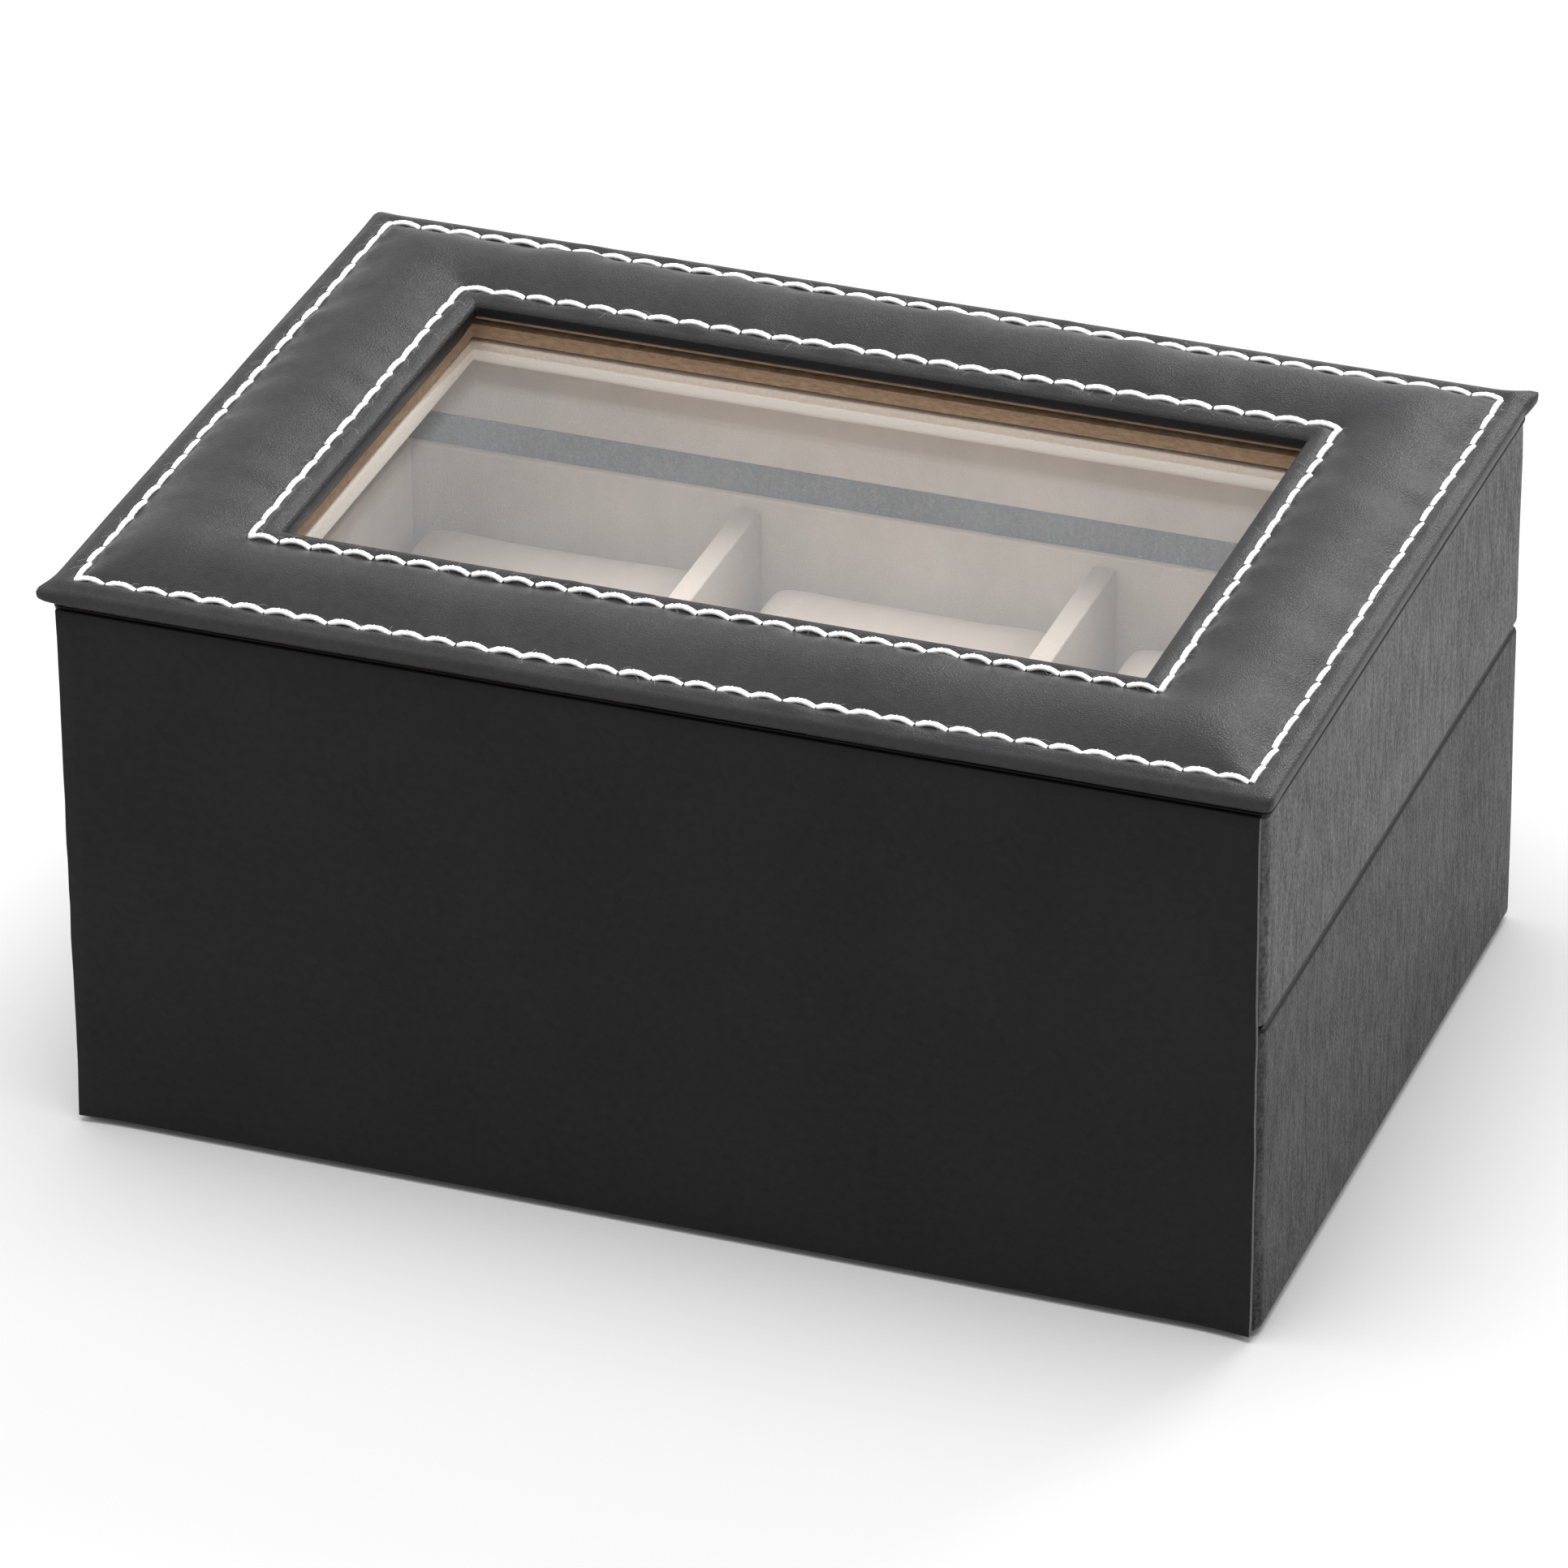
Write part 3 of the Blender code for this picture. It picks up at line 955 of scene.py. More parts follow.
# -------------------------------------------------------------------------- stitching
@dataclass(frozen=True)
class ThreadRun:
    """One kind of short thread laid again and again along a path, by geometry nodes.

    Args:
        name: the tree's name.
        pitch: distance from one thread to the next.
        length: length of one thread.
        radius: half its thickness.
        rise: how high its middle stands.
        dip: how deep its ends go.
        slant: how far its ends part sideways, as a share of its length.
        bow: how far its middle bows sideways, as a share of its length.
        plies: how many plies it is twisted from.
        twist: turns that the plies make.
        jitter: random turn about the upright, in radians.
        stray: random shift sideways.
        points: points along one thread.
        seed: which random values.
    """

    name: str
    pitch: float
    length: float
    radius: float
    rise: float
    dip: float
    slant: float = 0.1
    bow: float = 0.1
    plies: int = 3
    twist: float = 1.6
    jitter: float = 0.05
    stray: float = 0.0
    points: int = 10
    seed: int = 1

    def tree(self, material: bpy.types.Material) -> tuple[bpy.types.NodeTree, dict[str, str]]:
        """Build the node tree.

        Args:
            material: the thread's finish.

        Returns:
            The tree, and the identifier of each named input.
        """
        tree = bpy.data.node_groups.new(self.name, "GeometryNodeTree")
        face = tree.interface
        face.new_socket(name="Path", in_out="INPUT", socket_type="NodeSocketGeometry")
        inputs = {}
        for label in ("Pitch", "Length", "Radius", "Rise", "Dip", "Slant", "Bow", "Twist", "Jitter",
                      "Stray"):
            made = face.new_socket(name=label, in_out="INPUT", socket_type="NodeSocketFloat")
            inputs[label] = made.identifier
        face.new_socket(name="Threads", in_out="OUTPUT", socket_type="NodeSocketGeometry")
        graph = Graph(tree)
        given = graph.node("NodeGroupInput")
        value = {label: Wire(graph, given.outputs[label]) for label in ("Path", *inputs)}

        share = graph.out("GeometryNodeSplineParameter", output="Factor")
        arch = graph.out("ShaderNodeMath", {"operation": "SINE"}, {0: share * math.pi})
        end = graph.out("ShaderNodeCombineXYZ", {}, {"X": value["Length"]})
        line = graph.out("GeometryNodeCurvePrimitiveLine", {}, {"End": end})
        line = graph.out("GeometryNodeResampleCurve", {}, {"Curve": line, "Count": self.points})
        lift = arch ** 0.85 * (value["Rise"] + value["Dip"]) - value["Dip"]
        aside = ((share - 0.5) * value["Slant"] + arch * value["Bow"]) * value["Length"]
        shift = graph.out("ShaderNodeCombineXYZ", {}, {"Y": aside, "Z": lift})
        line = graph.out("GeometryNodeSetPosition", {}, {"Geometry": line, "Offset": shift})
        line = graph.out("GeometryNodeSetCurveRadius", {}, {
            "Curve": line, "Radius": arch ** 0.5 * 0.3 + 0.7})
        turn = share * value["Twist"] * math.tau
        line = graph.out("GeometryNodeSetCurveTilt", {}, {"Curve": line, "Tilt": turn})
        section = graph.out("GeometryNodeCurveStar", {}, {
            "Points": self.plies, "Outer Radius": value["Radius"],
            "Inner Radius": value["Radius"] * 0.88})
        thread = graph.out("GeometryNodeCurveToMesh", {}, {
            "Curve": line, "Profile Curve": section, "Fill Caps": True})

        holes = graph.out("GeometryNodeResampleCurve", {"mode": "LENGTH"}, {
            "Curve": value["Path"], "Length": value["Pitch"]})
        last = graph.out("GeometryNodeCurveEndpointSelection", {}, {"Start Size": 0, "End Size": 1})
        kept = graph.out("FunctionNodeBooleanMath", {"operation": "NOT"}, {0: last})
        heading = graph.out("FunctionNodeAlignRotationToVector", {"axis": "X", "pivot_axis": "Z"}, {
            "Vector": graph.out("GeometryNodeInputTangent")})
        turned = graph.out("FunctionNodeRandomValue", {}, {
            2: value["Jitter"] * -1.0, 3: value["Jitter"], "Seed": self.seed}, output=1)
        tilt = graph.out("ShaderNodeCombineXYZ", {}, {"Z": turned})
        tilt = graph.out("FunctionNodeEulerToRotation", {}, {"Euler": tilt})
        heading = graph.out("FunctionNodeRotateRotation", {"rotation_space": "LOCAL"}, {
            "Rotation": heading, "Rotate By": tilt})
        size = graph.out("FunctionNodeRandomValue", {}, {
            2: 0.94, 3: 1.05, "Seed": self.seed + 5}, output=1)
        placed = graph.node("GeometryNodeInstanceOnPoints", {}, {
            "Points": holes, "Selection": kept, "Instance": thread, "Rotation": heading, "Scale": size})
        drift = graph.out("FunctionNodeRandomValue", {}, {
            2: value["Stray"] * -1.0, 3: value["Stray"], "Seed": self.seed + 9}, output=1)
        drift = graph.out("ShaderNodeCombineXYZ", {}, {"X": drift * 0.7, "Y": drift})
        moved = graph.out("GeometryNodeTranslateInstances", {}, {
            "Instances": Wire(graph, placed.outputs[0]), "Translation": drift})
        solid = graph.out("GeometryNodeRealizeInstances", {}, {"Geometry": moved})
        dressed = graph.out("GeometryNodeSetMaterial", {}, {"Geometry": solid, "Material": material})
        graph.node("NodeGroupOutput", {}, {"Threads": dressed})
        return tree, inputs

    def lay(self, name: str, sides: Sequence[Sequence[Sequence[float]]],
            material: bpy.types.Material) -> bpy.types.Object:
        """Lay the thread along straight or bent runs.

        Args:
            name: the piece's name.
            sides: the runs, each a list of points.
            material: the thread's finish.

        Returns:
            The piece, as a plain mesh.
        """
        path = bpy.data.curves.new(name + "_path", "CURVE")
        path.dimensions = "3D"
        for side in sides:
            spline = path.splines.new("POLY")
            spline.points.add(len(side) - 1)
            for point, place in zip(spline.points, side):
                point.co = (*place, 1.0)
        guide = bpy.data.objects.new(name + "_guide", path)
        bpy.context.scene.collection.objects.link(guide)
        tree, inputs = self.tree(material)
        step = guide.modifiers.new("threads", "NODES")
        step.node_group = tree
        for label, identifier in inputs.items():
            step[identifier] = float(getattr(self, label.lower()))
        mesh = evaluated(guide)
        mesh.name = name
        bpy.data.objects.remove(guide)
        made = bpy.data.objects.new(name, mesh)
        bpy.context.scene.collection.objects.link(made)
        mesh.shade_smooth()
        return made


# -------------------------------------------------------------------- the padded frame
@dataclass
class PaddedFrame:
    """The stuffed, stitched frame round the window.

    Args:
        finishes: the box's finishes.
        stitch_size: length of one stitch.
        cell: width of the cloth's mesh.
        edge_radius: rounding of the rim.
        tuck_radius: rounding of the rim's lower edge.
        tuck: how far the skin is turned under.
        crease: how far its lower edge curls up from the lid.
        stitch_depth: how far the needle holes are pulled in.
        rise: crest of the padding above the stitched edge.
        inner_lift: how much higher the window's margin is than the rim.
        far_gap: how much of the boards' raw edge shows under the skin on the window's far side.
        thread_radius: half the thread's thickness.
        crumple_size: how far from a corner the skin is crumpled.
        crumple: height of the crumples there.
        rumple: height of the broad waves of the padding and the rim.
        corner_points: how far each corner sticks out, from -x -y along x and then along y.
        puff: how the padding fills the skin.
        rim: the box of the whole frame.
        outer_line: the box of the stitches by the rim.
        inner_line: the box of the stitches by the window.
    """

    finishes: Finishes
    stitch_size: float = 5.4 * MM
    cell: float = 1.4 * MM
    edge_radius: float = 1.0 * MM
    tuck_radius: float = 0.9 * MM
    tuck: float = 2.5 * MM
    crease: float = 0.5 * MM
    stitch_depth: float = 0.45 * MM
    rise: float = 3.3 * MM
    inner_lift: float = 1.1 * MM
    far_gap: float = 1.2 * MM
    thread_radius: float = 0.47 * MM
    crumple_size: float = 9.0 * MM
    crumple: float = 0.5 * MM
    rumple: float = 0.22 * MM
    corner_points: tuple[float, ...] = (1.3 * MM, 0.2 * MM, -0.5 * MM, 1.7 * MM)
    puff: Puff = Puff(pressure=6.0, frames=24, slack=0.0, bending=4.0)
    rim: Extent = field(default_factory=lambda: Extent.of("frame_leather"))
    outer_line: Extent = field(default_factory=lambda: Extent.of("outer_stitching"))
    inner_line: Extent = field(default_factory=lambda: Extent.of("inner_stitching"))

    def __post_init__(self) -> None:
        """Work out the sizes that the frame gives."""
        thread = self.outer_line.size.z
        self.base_z = self.outer_line.low.z - 0.3 * MM
        self.rim_half = (self.rim.high.x, self.rim.high.y)
        self.outer_half = (self.outer_line.high.x - thread / 2, self.outer_line.high.y - thread / 2)
        self.inner_half = (self.inner_line.high.x - thread / 2, self.inner_line.high.y - thread / 2)
        margin = self.rim_half[0] - self.outer_half[0]
        self.window_half = (self.inner_half[0] - margin, self.inner_half[1] - margin)
        self.bottom_z = self.rim.low.z + self.crease

    def lattice(self, axis: int) -> np.ndarray:
        """Places of the cloth's mesh lines, with lines on every seam.

        Args:
            axis: 0 for x and 1 for y.

        Returns:
            The places, rising.
        """
        radius = self.edge_radius
        breaks = [self.rim_half[axis] - radius, self.outer_half[axis], self.inner_half[axis],
                  self.window_half[axis] + radius]
        stops = [-b for b in breaks] + [b for b in reversed(breaks)]
        lines = [stops[0]]
        for start, end in zip(stops, stops[1:]):
            count = max(1, round((end - start) / self.cell))
            lines += [start + (end - start) * k / count for k in range(1, count + 1)]
        return np.array(lines)

    def flat_skin(self) -> bpy.types.Mesh:
        """The top of the skin, flat, with its window left out.

        Returns:
            The mesh.
        """
        xs, ys = self.lattice(0), self.lattice(1)
        hole = [self.window_half[k] + self.edge_radius - 1e-6 for k in (0, 1)]
        number: dict[tuple[int, int], int] = {}
        points = []
        for j, y in enumerate(ys):
            for i, x in enumerate(xs):
                if abs(x) >= hole[0] or abs(y) >= hole[1]:
                    number[i, j] = len(points)
                    points.append((x, y, 0.0))
        faces = []
        for j in range(len(ys) - 1):
            for i in range(len(xs) - 1):
                corners = ((i, j), (i + 1, j), (i + 1, j + 1), (i, j + 1))
                middle = (xs[i] + xs[i + 1]) / 2, (ys[j] + ys[j + 1]) / 2
                if abs(middle[0]) > hole[0] or abs(middle[1]) > hole[1]:
                    faces.append([number[c] for c in corners])
        return mesh_of("padded_frame_skin", points, faces)

    def on_line(self, places: np.ndarray, half: tuple[float, float]) -> np.ndarray:
        """Find the points on one rectangle.

        Args:
            places: the points' places.
            half: half the rectangle's size along x and y.

        Returns:
            True for each point that lies on it.
        """
        x, y = np.abs(places[:, 0]), np.abs(places[:, 1])
        near = 1e-5
        along_y = (np.abs(x - half[0]) < near) & (y <= half[1] + near)
        along_x = (np.abs(y - half[1]) < near) & (x <= half[0] + near)
        return along_x | along_y

    def stitch_dip(self, places: np.ndarray, half: tuple[float, float]) -> np.ndarray:
        """How deep the seam lies along a stitch line: deepest at the holes.

        Args:
            places: the points' places.
            half: half the line's size along x and y.

        Returns:
            The height of each point, as if all lay on the line.
        """
        x, y = places[:, 0], places[:, 1]
        along_x = np.abs(np.abs(y) - half[1]) < 1e-5
        run = np.where(along_x, x + half[0], y + half[1])
        length = np.where(along_x, 2 * half[0], 2 * half[1])
        count = np.round(length / self.stitch_size)
        return -self.stitch_depth * (0.62 + 0.38 * np.cos(math.tau * run / length * count))

    def puffed(self, mesh: bpy.types.Mesh) -> np.ndarray:
        """Fill the skin with padding: held along its seams and edges, free between them.

        Args:
            mesh: the flat skin.

        Returns:
            The points' places, with the seams at a height of 0.
        """
        places = positions(mesh)
        held = np.zeros(len(places))
        for half in (self.top_edge(1.0), self.top_edge(-1.0)):
            held[self.on_line(places, half)] = 1.0
        for half in (self.outer_half, self.inner_half):
            seam = self.on_line(places, half)
            held[seam] = 1.0
            places[seam, 2] = self.stitch_dip(places, half)[seam]
        free = held < 0.5
        grain = np.array([noise.noise(Vector((x * 160, y * 160, 4.2))) for x, y in places[:, :2]])
        places[free, 2] += (0.25 + 0.25 * grain[free]) * MM
        set_positions(mesh, places)
        settled = self.puff.run(mesh, held)
        crest = np.percentile(settled[free, 2], 97)
        log.info("the padding's crest settled at %.2f mm", crest / MM)
        settled[:, 2] *= np.where(settled[:, 2] > 0, self.rise / crest, 1.0)
        return settled

    def top_edge(self, sign: float) -> tuple[float, float]:
        """Where the flat top ends: by the rim (sign 1) or by the window (sign -1)."""
        half = self.rim_half if sign > 0 else self.window_half
        return half[0] - sign * self.edge_radius, half[1] - sign * self.edge_radius

    def edge_section(self, depth: float) -> list[tuple[float, float]]:
        """The way over an edge and under it.

        Args:
            depth: height of the edge.

        Returns:
            Points as (distance outwards, height), counted from the end of the flat top.
        """
        radius, low = self.edge_radius, self.tuck_radius
        over = [(radius * math.sin(a), -radius * (1 - math.cos(a)))
                for a in (math.radians(d) for d in (22.5, 45.0, 67.5, 90.0))]
        under = [(radius - low * (1 - math.cos(a)), -(depth - low) - low * math.sin(a))
                 for a in (math.radians(d) for d in (0.0, 45.0, 90.0))]
        return over + under + [(radius - low - self.tuck, -depth)]

    def closed(self, mesh: bpy.types.Mesh, places: np.ndarray) -> bpy.types.Mesh:
        """Carry the skin over both edges and close it underneath.

        Args:
            mesh: the skin's top.
            places: where its points lie.

        Returns:
            A closed shell.
        """
        points = [tuple(p) for p in places]
        faces = [tuple(p.vertices) for p in mesh.polygons]
        ends = []
        for sign in (1.0, -1.0):
            edge = self.top_edge(sign)
            rim = np.flatnonzero(self.on_line(places, edge))
            row = sorted(rim.tolist(), key=lambda i: math.atan2(places[i, 1], places[i, 0]))
            home = places[row]
            side = np.where(np.abs(np.abs(home[:, :2]) - edge) < 1e-5, np.sign(home[:, :2]), 0.0)
            depth = self.base_z - self.bottom_z
            for out, down in self.edge_section(depth):
                first = len(points)
                moved = home + np.column_stack((side * sign * out, np.full(len(home), down)))
                points += [tuple(p) for p in moved]
                fresh = list(range(first, len(points)))
                for k, (a, d) in enumerate(zip(row, fresh)):
                    b, c = row[(k + 1) % len(row)], fresh[(k + 1) % len(row)]
                    faces.append((a, d, c, b) if sign > 0 else (a, b, c, d))
                row = fresh
            ends.append(row)
        shape = bmesh.new()
        shape.from_mesh(mesh_of("open_shell", points, faces))
        shape.verts.ensure_lookup_table()
        rims = [shape.edges.get((shape.verts[row[k]], shape.verts[row[k - 1]]))
                for row in ends for k in range(len(row))]
        bmesh.ops.bridge_loops(shape, edges=rims)
        bmesh.ops.recalc_face_normals(shape, faces=shape.faces)
        made = bpy.data.meshes.new("padded_frame_skin")
        shape.to_mesh(made)
        shape.free()
        return made

    def settle(self, mesh: bpy.types.Mesh) -> None:
        """Lift the skin onto the lid, slope it up to the window and crumple its corners.

        Args:
            mesh: the closed skin, with its seams at a height of 0.
        """
        width = self.outer_half[0] - self.inner_half[0]
        depth = self.base_z - self.bottom_z
        for vertex in mesh.vertices:
            place = vertex.co
            x, y = abs(place.x), abs(place.y)
            inwards = min(self.outer_half[0] - x, self.outer_half[1] - y) / width
            inwards = max(0.0, min(1.0, inwards))
            above = max(0.0, min(1.0, 1.0 + place.z / depth))
            below = max(0.0, -(place.z + self.edge_radius) / (depth - self.edge_radius))
            lift = self.inner_lift * inwards * above
            from_corner = math.hypot(self.rim_half[0] - x, self.rim_half[1] - y)
            corner = max(0.0, 1.0 - from_corner / self.crumple_size)
            away = max(0.0, x - self.outer_half[0]) + max(0.0, y - self.outer_half[1])
            wave = noise.noise(place * 240.0) * self.crumple * corner
            which = (place.x > 0) + 2 * (place.y > 0)
            point = self.corner_points[which] * corner ** 3
            rumple = noise.noise(Vector((place.x * 62, place.y * 62, 1.5))) * self.rumple
            edge_wave = noise.noise(Vector((place.x * 34, place.y * 34, 8.0))) * self.rumple
            edge_wave *= min(1.0, away / MM)
            place.x += math.copysign(point + edge_wave, place.x) + wave
            place.y += math.copysign(point + edge_wave, place.y) - wave
            place.z += self.base_z + lift + (wave + point * 0.25 + rumple * self.soft(inwards)) * above
            place.z += max(0.0, point) * 0.9 * (1.0 - above)
            place.z += self.far_gap * self.by_far_edge(x, place.y) * below
        mesh.update()

    def by_far_edge(self, x: float, y: float) -> float:
        """How near a point is to the far edge of the window.

        Args:
            x: its distance from the middle along x.
            y: its y.

        Returns:
            1 along the edge, falling to 0 away from it.
        """
        reach = 4 * MM
        if max(x - self.window_half[0], abs(y) - self.window_half[1]) > reach:
            return 0.0
        return max(0.0, min(1.0, 1.0 + (y - self.window_half[1] + 1 * MM) / reach))

    @staticmethod
    def soft(inwards: float) -> float:
        """How freely the padding moves, from the seams to midway between them."""
        return min(1.0, 4.0 * inwards * (1.0 - inwards))

    def inside_window(self, place: Vector) -> bool:
        """True for a point on the edge round the window."""
        limit = [half + 2 * self.edge_radius for half in self.window_half]
        return abs(place.x) < limit[0] and abs(place.y) < limit[1]

    def sides(self, half: tuple[float, float], height: float) -> list[list[tuple[float, ...]]]:
        """The four runs of a stitch line, anticlockwise."""
        corners = [(-half[0], -half[1]), (half[0], -half[1]), half, (-half[0], half[1])]
        return [[(*corners[k], height), (*corners[(k + 1) % 4], height)] for k in range(4)]

    def stitches(self, name: str, half: tuple[float, float], height: float,
                 seed: int) -> bpy.types.Object:
        """Lay one line of stitches round the frame: arched along x, and flatter along y.

        Args:
            name: the piece's name.
            half: half the line's size along x and y.
            height: height of the seam.
            seed: which random values.

        Returns:
            The piece.
        """
        sides = self.sides(half, height)
        pieces = []
        for k, side in enumerate(sides):
            length = 2 * half[k % 2]
            pitch = length / round(length / self.stitch_size)
            label = f"{name}_{k + 1}"
            if k % 2:
                run = ThreadRun(label, pitch * 0.999, pitch * 0.93, self.thread_radius * 1.1,
                                rise=0.30 * MM, dip=0.12 * MM, slant=-0.06, bow=0.0, seed=seed + k)
            else:
                run = ThreadRun(label, pitch * 0.999, pitch * 0.91, self.thread_radius * 1.08,
                                rise=0.62 * MM, dip=0.10 * MM, slant=-0.02, bow=0.03, seed=seed + k)
            pieces.append(run.lay(label, [side], self.finishes.thread))
        return joined(name, pieces)

    def lint(self, name: str, half: tuple[float, float], height: float,
             seed: int) -> bpy.types.Object:
        """Lay stray fibres of thread along a line of stitches.

        Args:
            name: the piece's name.
            half: half the line's size along x and y.
            height: height of the fibres.
            seed: which random values.

        Returns:
            The piece.
        """
        run = ThreadRun(name, 2.9 * MM, 2.6 * MM, 0.011 * MM, rise=0.6 * MM, dip=-0.1 * MM, slant=0.3,
                        bow=0.12, plies=3, twist=0.0, jitter=1.3, stray=1.3 * MM, points=5, seed=seed)
        return run.lay(name, self.sides(half, height), self.finishes.lint)

    def build(self) -> None:
        """Make the frame's skin, both lines of stitches and their lint."""
        mesh = self.flat_skin()
        shell = self.closed(mesh, self.puffed(mesh))
        self.settle(shell)
        skin = new_object("padded_frame", shell, self.finishes.frame_skin, self.finishes.painted_shade_skin)
        # Painted shade: the skin's faces low inside the window take the dark skin, for the shade on the
        # window's inner edge.
        for face in shell.polygons:
            low = face.center.z < self.base_z + self.inner_lift - 0.8 * self.edge_radius
            face.material_index = int(low and self.inside_window(face.center))
        grow_subdivision(skin, 1)
        freeze(skin)
        skin.data.shade_smooth()
        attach(skin, "lid")
        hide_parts("frame_leather")
        lines = (("outer", self.outer_half, self.base_z, 11),
                 ("inner", self.inner_half, self.base_z + self.inner_lift, 31))
        for label, half, height, seed in lines:
            thread = self.stitches(f"{label}_stitches", half, height, seed)
            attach(thread, "lid")
            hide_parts(f"{label}_stitching")
            fuzz = self.lint(f"{label}_stitch_lint", half, height + 0.1 * MM, seed + 50)
            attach(fuzz, "lid")


# ------------------------------------------------------------------- the wrapped walls
@dataclass
class WrappedWalls:
    """The leatherette round the lid's and the base's walls, and the skin over the hinge.

    Args:
        finishes: the box's finishes.
        thickness: thickness of the leatherette.
        cell: width of the mesh.
        edge_radius: rounding where it turns over the walls' edges.
        plan_radius: rounding of the upright corners.
        waviness: how far its surface strays.
        turn_in: how far the covers reach inside, past the seam.
        turn_under: how far the base's cover reaches under it.
        shade_band: height of the band of painted shade along the top of the lid's cover, under the frame.
        base: the box of the base's cover.
        lid: the box of the lid's cover.
        board: the box of the lid's front board, which the covers are turned over.
        base_skin: the box of the hinge skin's lower half.
        lid_skin: the box of its upper half.
        tape: the box of the tape inside the fold.
    """

    finishes: Finishes
    thickness: float = 0.8 * MM
    cell: float = 3.0 * MM
    edge_radius: float = 1.1 * MM
    plan_radius: float = 1.8 * MM
    waviness: float = 0.22 * MM
    turn_in: float = 9 * MM
    turn_under: float = 12 * MM
    shade_band: float = 1.0 * MM
    base: Extent = field(default_factory=lambda: Extent.of("base_cover"))
    lid: Extent = field(default_factory=lambda: Extent.of("lid_cover"))
    board: Extent = field(default_factory=lambda: Extent.of("lid_front_board"))
    base_skin: Extent = field(default_factory=lambda: Extent.of("base_hinge_skin"))
    lid_skin: Extent = field(default_factory=lambda: Extent.of("lid_hinge_skin"))
    tape: Extent = field(default_factory=lambda: Extent.of("inner_hinge_strip"))

    def outline(self, depth: float) -> Loop:
        """The plan of the covers.

        Args:
            depth: how far it lies inside their outer face.

        Returns:
            The outline, which on the hinge side never stands past the wall.
        """
        back = -self.base.high.y + max(depth, self.thickness + 0.05 * MM)
        radius = max(self.plan_radius - depth * 0.6, 0.4 * MM)
        return rounded_loop((-self.base.high.x + depth, back),
                            (self.base.high.x - depth, self.base.high.y - depth), radius,
                            (round(self.base.size.x / self.cell), round(self.base.size.y / self.cell)))

    def wall_inside(self) -> float:
        """Depth of the turned-in skin's face inside the walls."""
        return self.base.high.y - self.board.low.y + 0.3 * MM + self.thickness

    def base_section(self) -> list[tuple[float, float]]:
        """Section of the base's cover.

        Returns:
            Points as (depth, z), from its turned-in end to its turned-under end.
        """
        top, bottom, inside = self.base.high.z, self.base.low.z, self.wall_inside()
        r = self.edge_radius
        return profile(("from", inside, top - self.turn_in), ("to", inside, top - r, self.cell),
                       ("round", inside - r, top, inside, top), ("to", r, top, 1.5 * MM),
                       ("round", 0.0, top - r, 0.0, top), ("to", 0.0, bottom + r, self.cell),
                       ("round", r, bottom, 0.0, bottom), ("to", self.turn_under, bottom, self.cell))

    def lid_section(self) -> list[tuple[float, float]]:
        """Section of the lid's cover.

        Returns:
            Points as (depth, z), from its upper edge to its turned-in end.
        """
        top, bottom, inside = self.lid.high.z, self.lid.low.z, self.wall_inside()
        r = self.edge_radius
        return profile(("from", -0.35 * MM, top), ("to", -0.3 * MM, top - 0.3 * MM, 0.3 * MM),
                       ("to", 0.0, top - self.shade_band, 0.3 * MM), ("to", 0.0, bottom + r, self.cell),
                       ("round", r, bottom, 0.0, bottom), ("to", inside - r, bottom, 1.5 * MM),
                       ("round", inside, bottom + r, inside, bottom),
                       ("to", inside, bottom + self.turn_in, self.cell))

    def outwards(self, place: Vector) -> Vector:
        """The way out of the nearest wall.

        Args:
            place: a point of a cover.

        Returns:
            A direction.
        """
        if self.base.high.x - abs(place.x) < abs(self.base.high.y - abs(place.y)):
            return Vector((math.copysign(1.0, place.x), 0.0, 0.0))
        return Vector((0.0, math.copysign(1.0, place.y), 0.0))

    def cover(self, name: str, node: str, section: Sequence[tuple[float, float]],
              finish: bpy.types.Material, seed: float) -> None:
        """Make one cover.

        Args:
            name: the piece's name.
            node: the node that it stands for.
            section: its section.
            finish: its material.
            seed: which waves it has.
        """
        mesh = swept(name, section, self.outline)
        low, high = Extent.of(node).low.z, Extent.of(node).high.z

        def amount(place: Vector) -> float:
            """Share of the waves: none at the edges, and all of them on the walls."""
            return max(0.0, min(1.0, (place.z - low) / (6 * MM), (high - place.z) / (6 * MM)))

        ripple(mesh, self.waviness, 0.030, seed, self.outwards, amount)
        made = new_object(name, mesh, finish, self.finishes.raw_edge, self.finishes.painted_shade_skin)
        # Painted shade: faces along the cover's top take the dark skin, for the shade in the crease under
        # the frame on the lid and along the seam on the base.
        shaded = self.shade_band if node == "lid_cover" else 0.6 * self.edge_radius
        for face in mesh.polygons:
            if face.center.z > high - shaded:
                face.material_index = 2
        give_thickness(made, self.thickness, 1)
        freeze(made)
        made.data.shade_smooth()
        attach(made, "base" if node.startswith("base") else "lid")
        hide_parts(node)

    def build_hinge_skin(self) -> None:
        """Make the single sheet over the lid, the fold and the base."""
        low, high = self.base_skin.low, self.lid_skin.high - Vector((0, 0, 0.3 * self.shade_band))
        xs = np.linspace(low.x, high.x, 67)
        upper = np.linspace(SEAM_Z + 2 * MM, high.z, 15)
        fold = np.linspace(SEAM_Z - 2 * MM, SEAM_Z + 2 * MM, 17)
        zs = np.concatenate((np.linspace(low.z, SEAM_Z - 2 * MM, 20), fold[1:], upper[1:]))
        mesh = grid("hinge_side_skin", xs, zs, lambda x, z: self.skin_place(x, z, high), True)
        made = new_object("hinge_side_skin", mesh, self.finishes.hinge_skin, self.finishes.raw_edge)
        give_thickness(made, self.thickness, 1)
        edges = made.modifiers.new("cut_edges", "BEVEL")
        edges.width = 0.12 * MM
        edges.segments = 1
        edges.angle_limit = math.radians(50)
        freeze(made)
        for face in made.data.polygons:        # the upper edge is hidden under the frame
            if face.center.z > high.z - 0.3 * MM:
                face.material_index = 0
        made.data.shade_smooth()
        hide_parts("base_hinge_skin", "lid_hinge_skin")
        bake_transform(made)

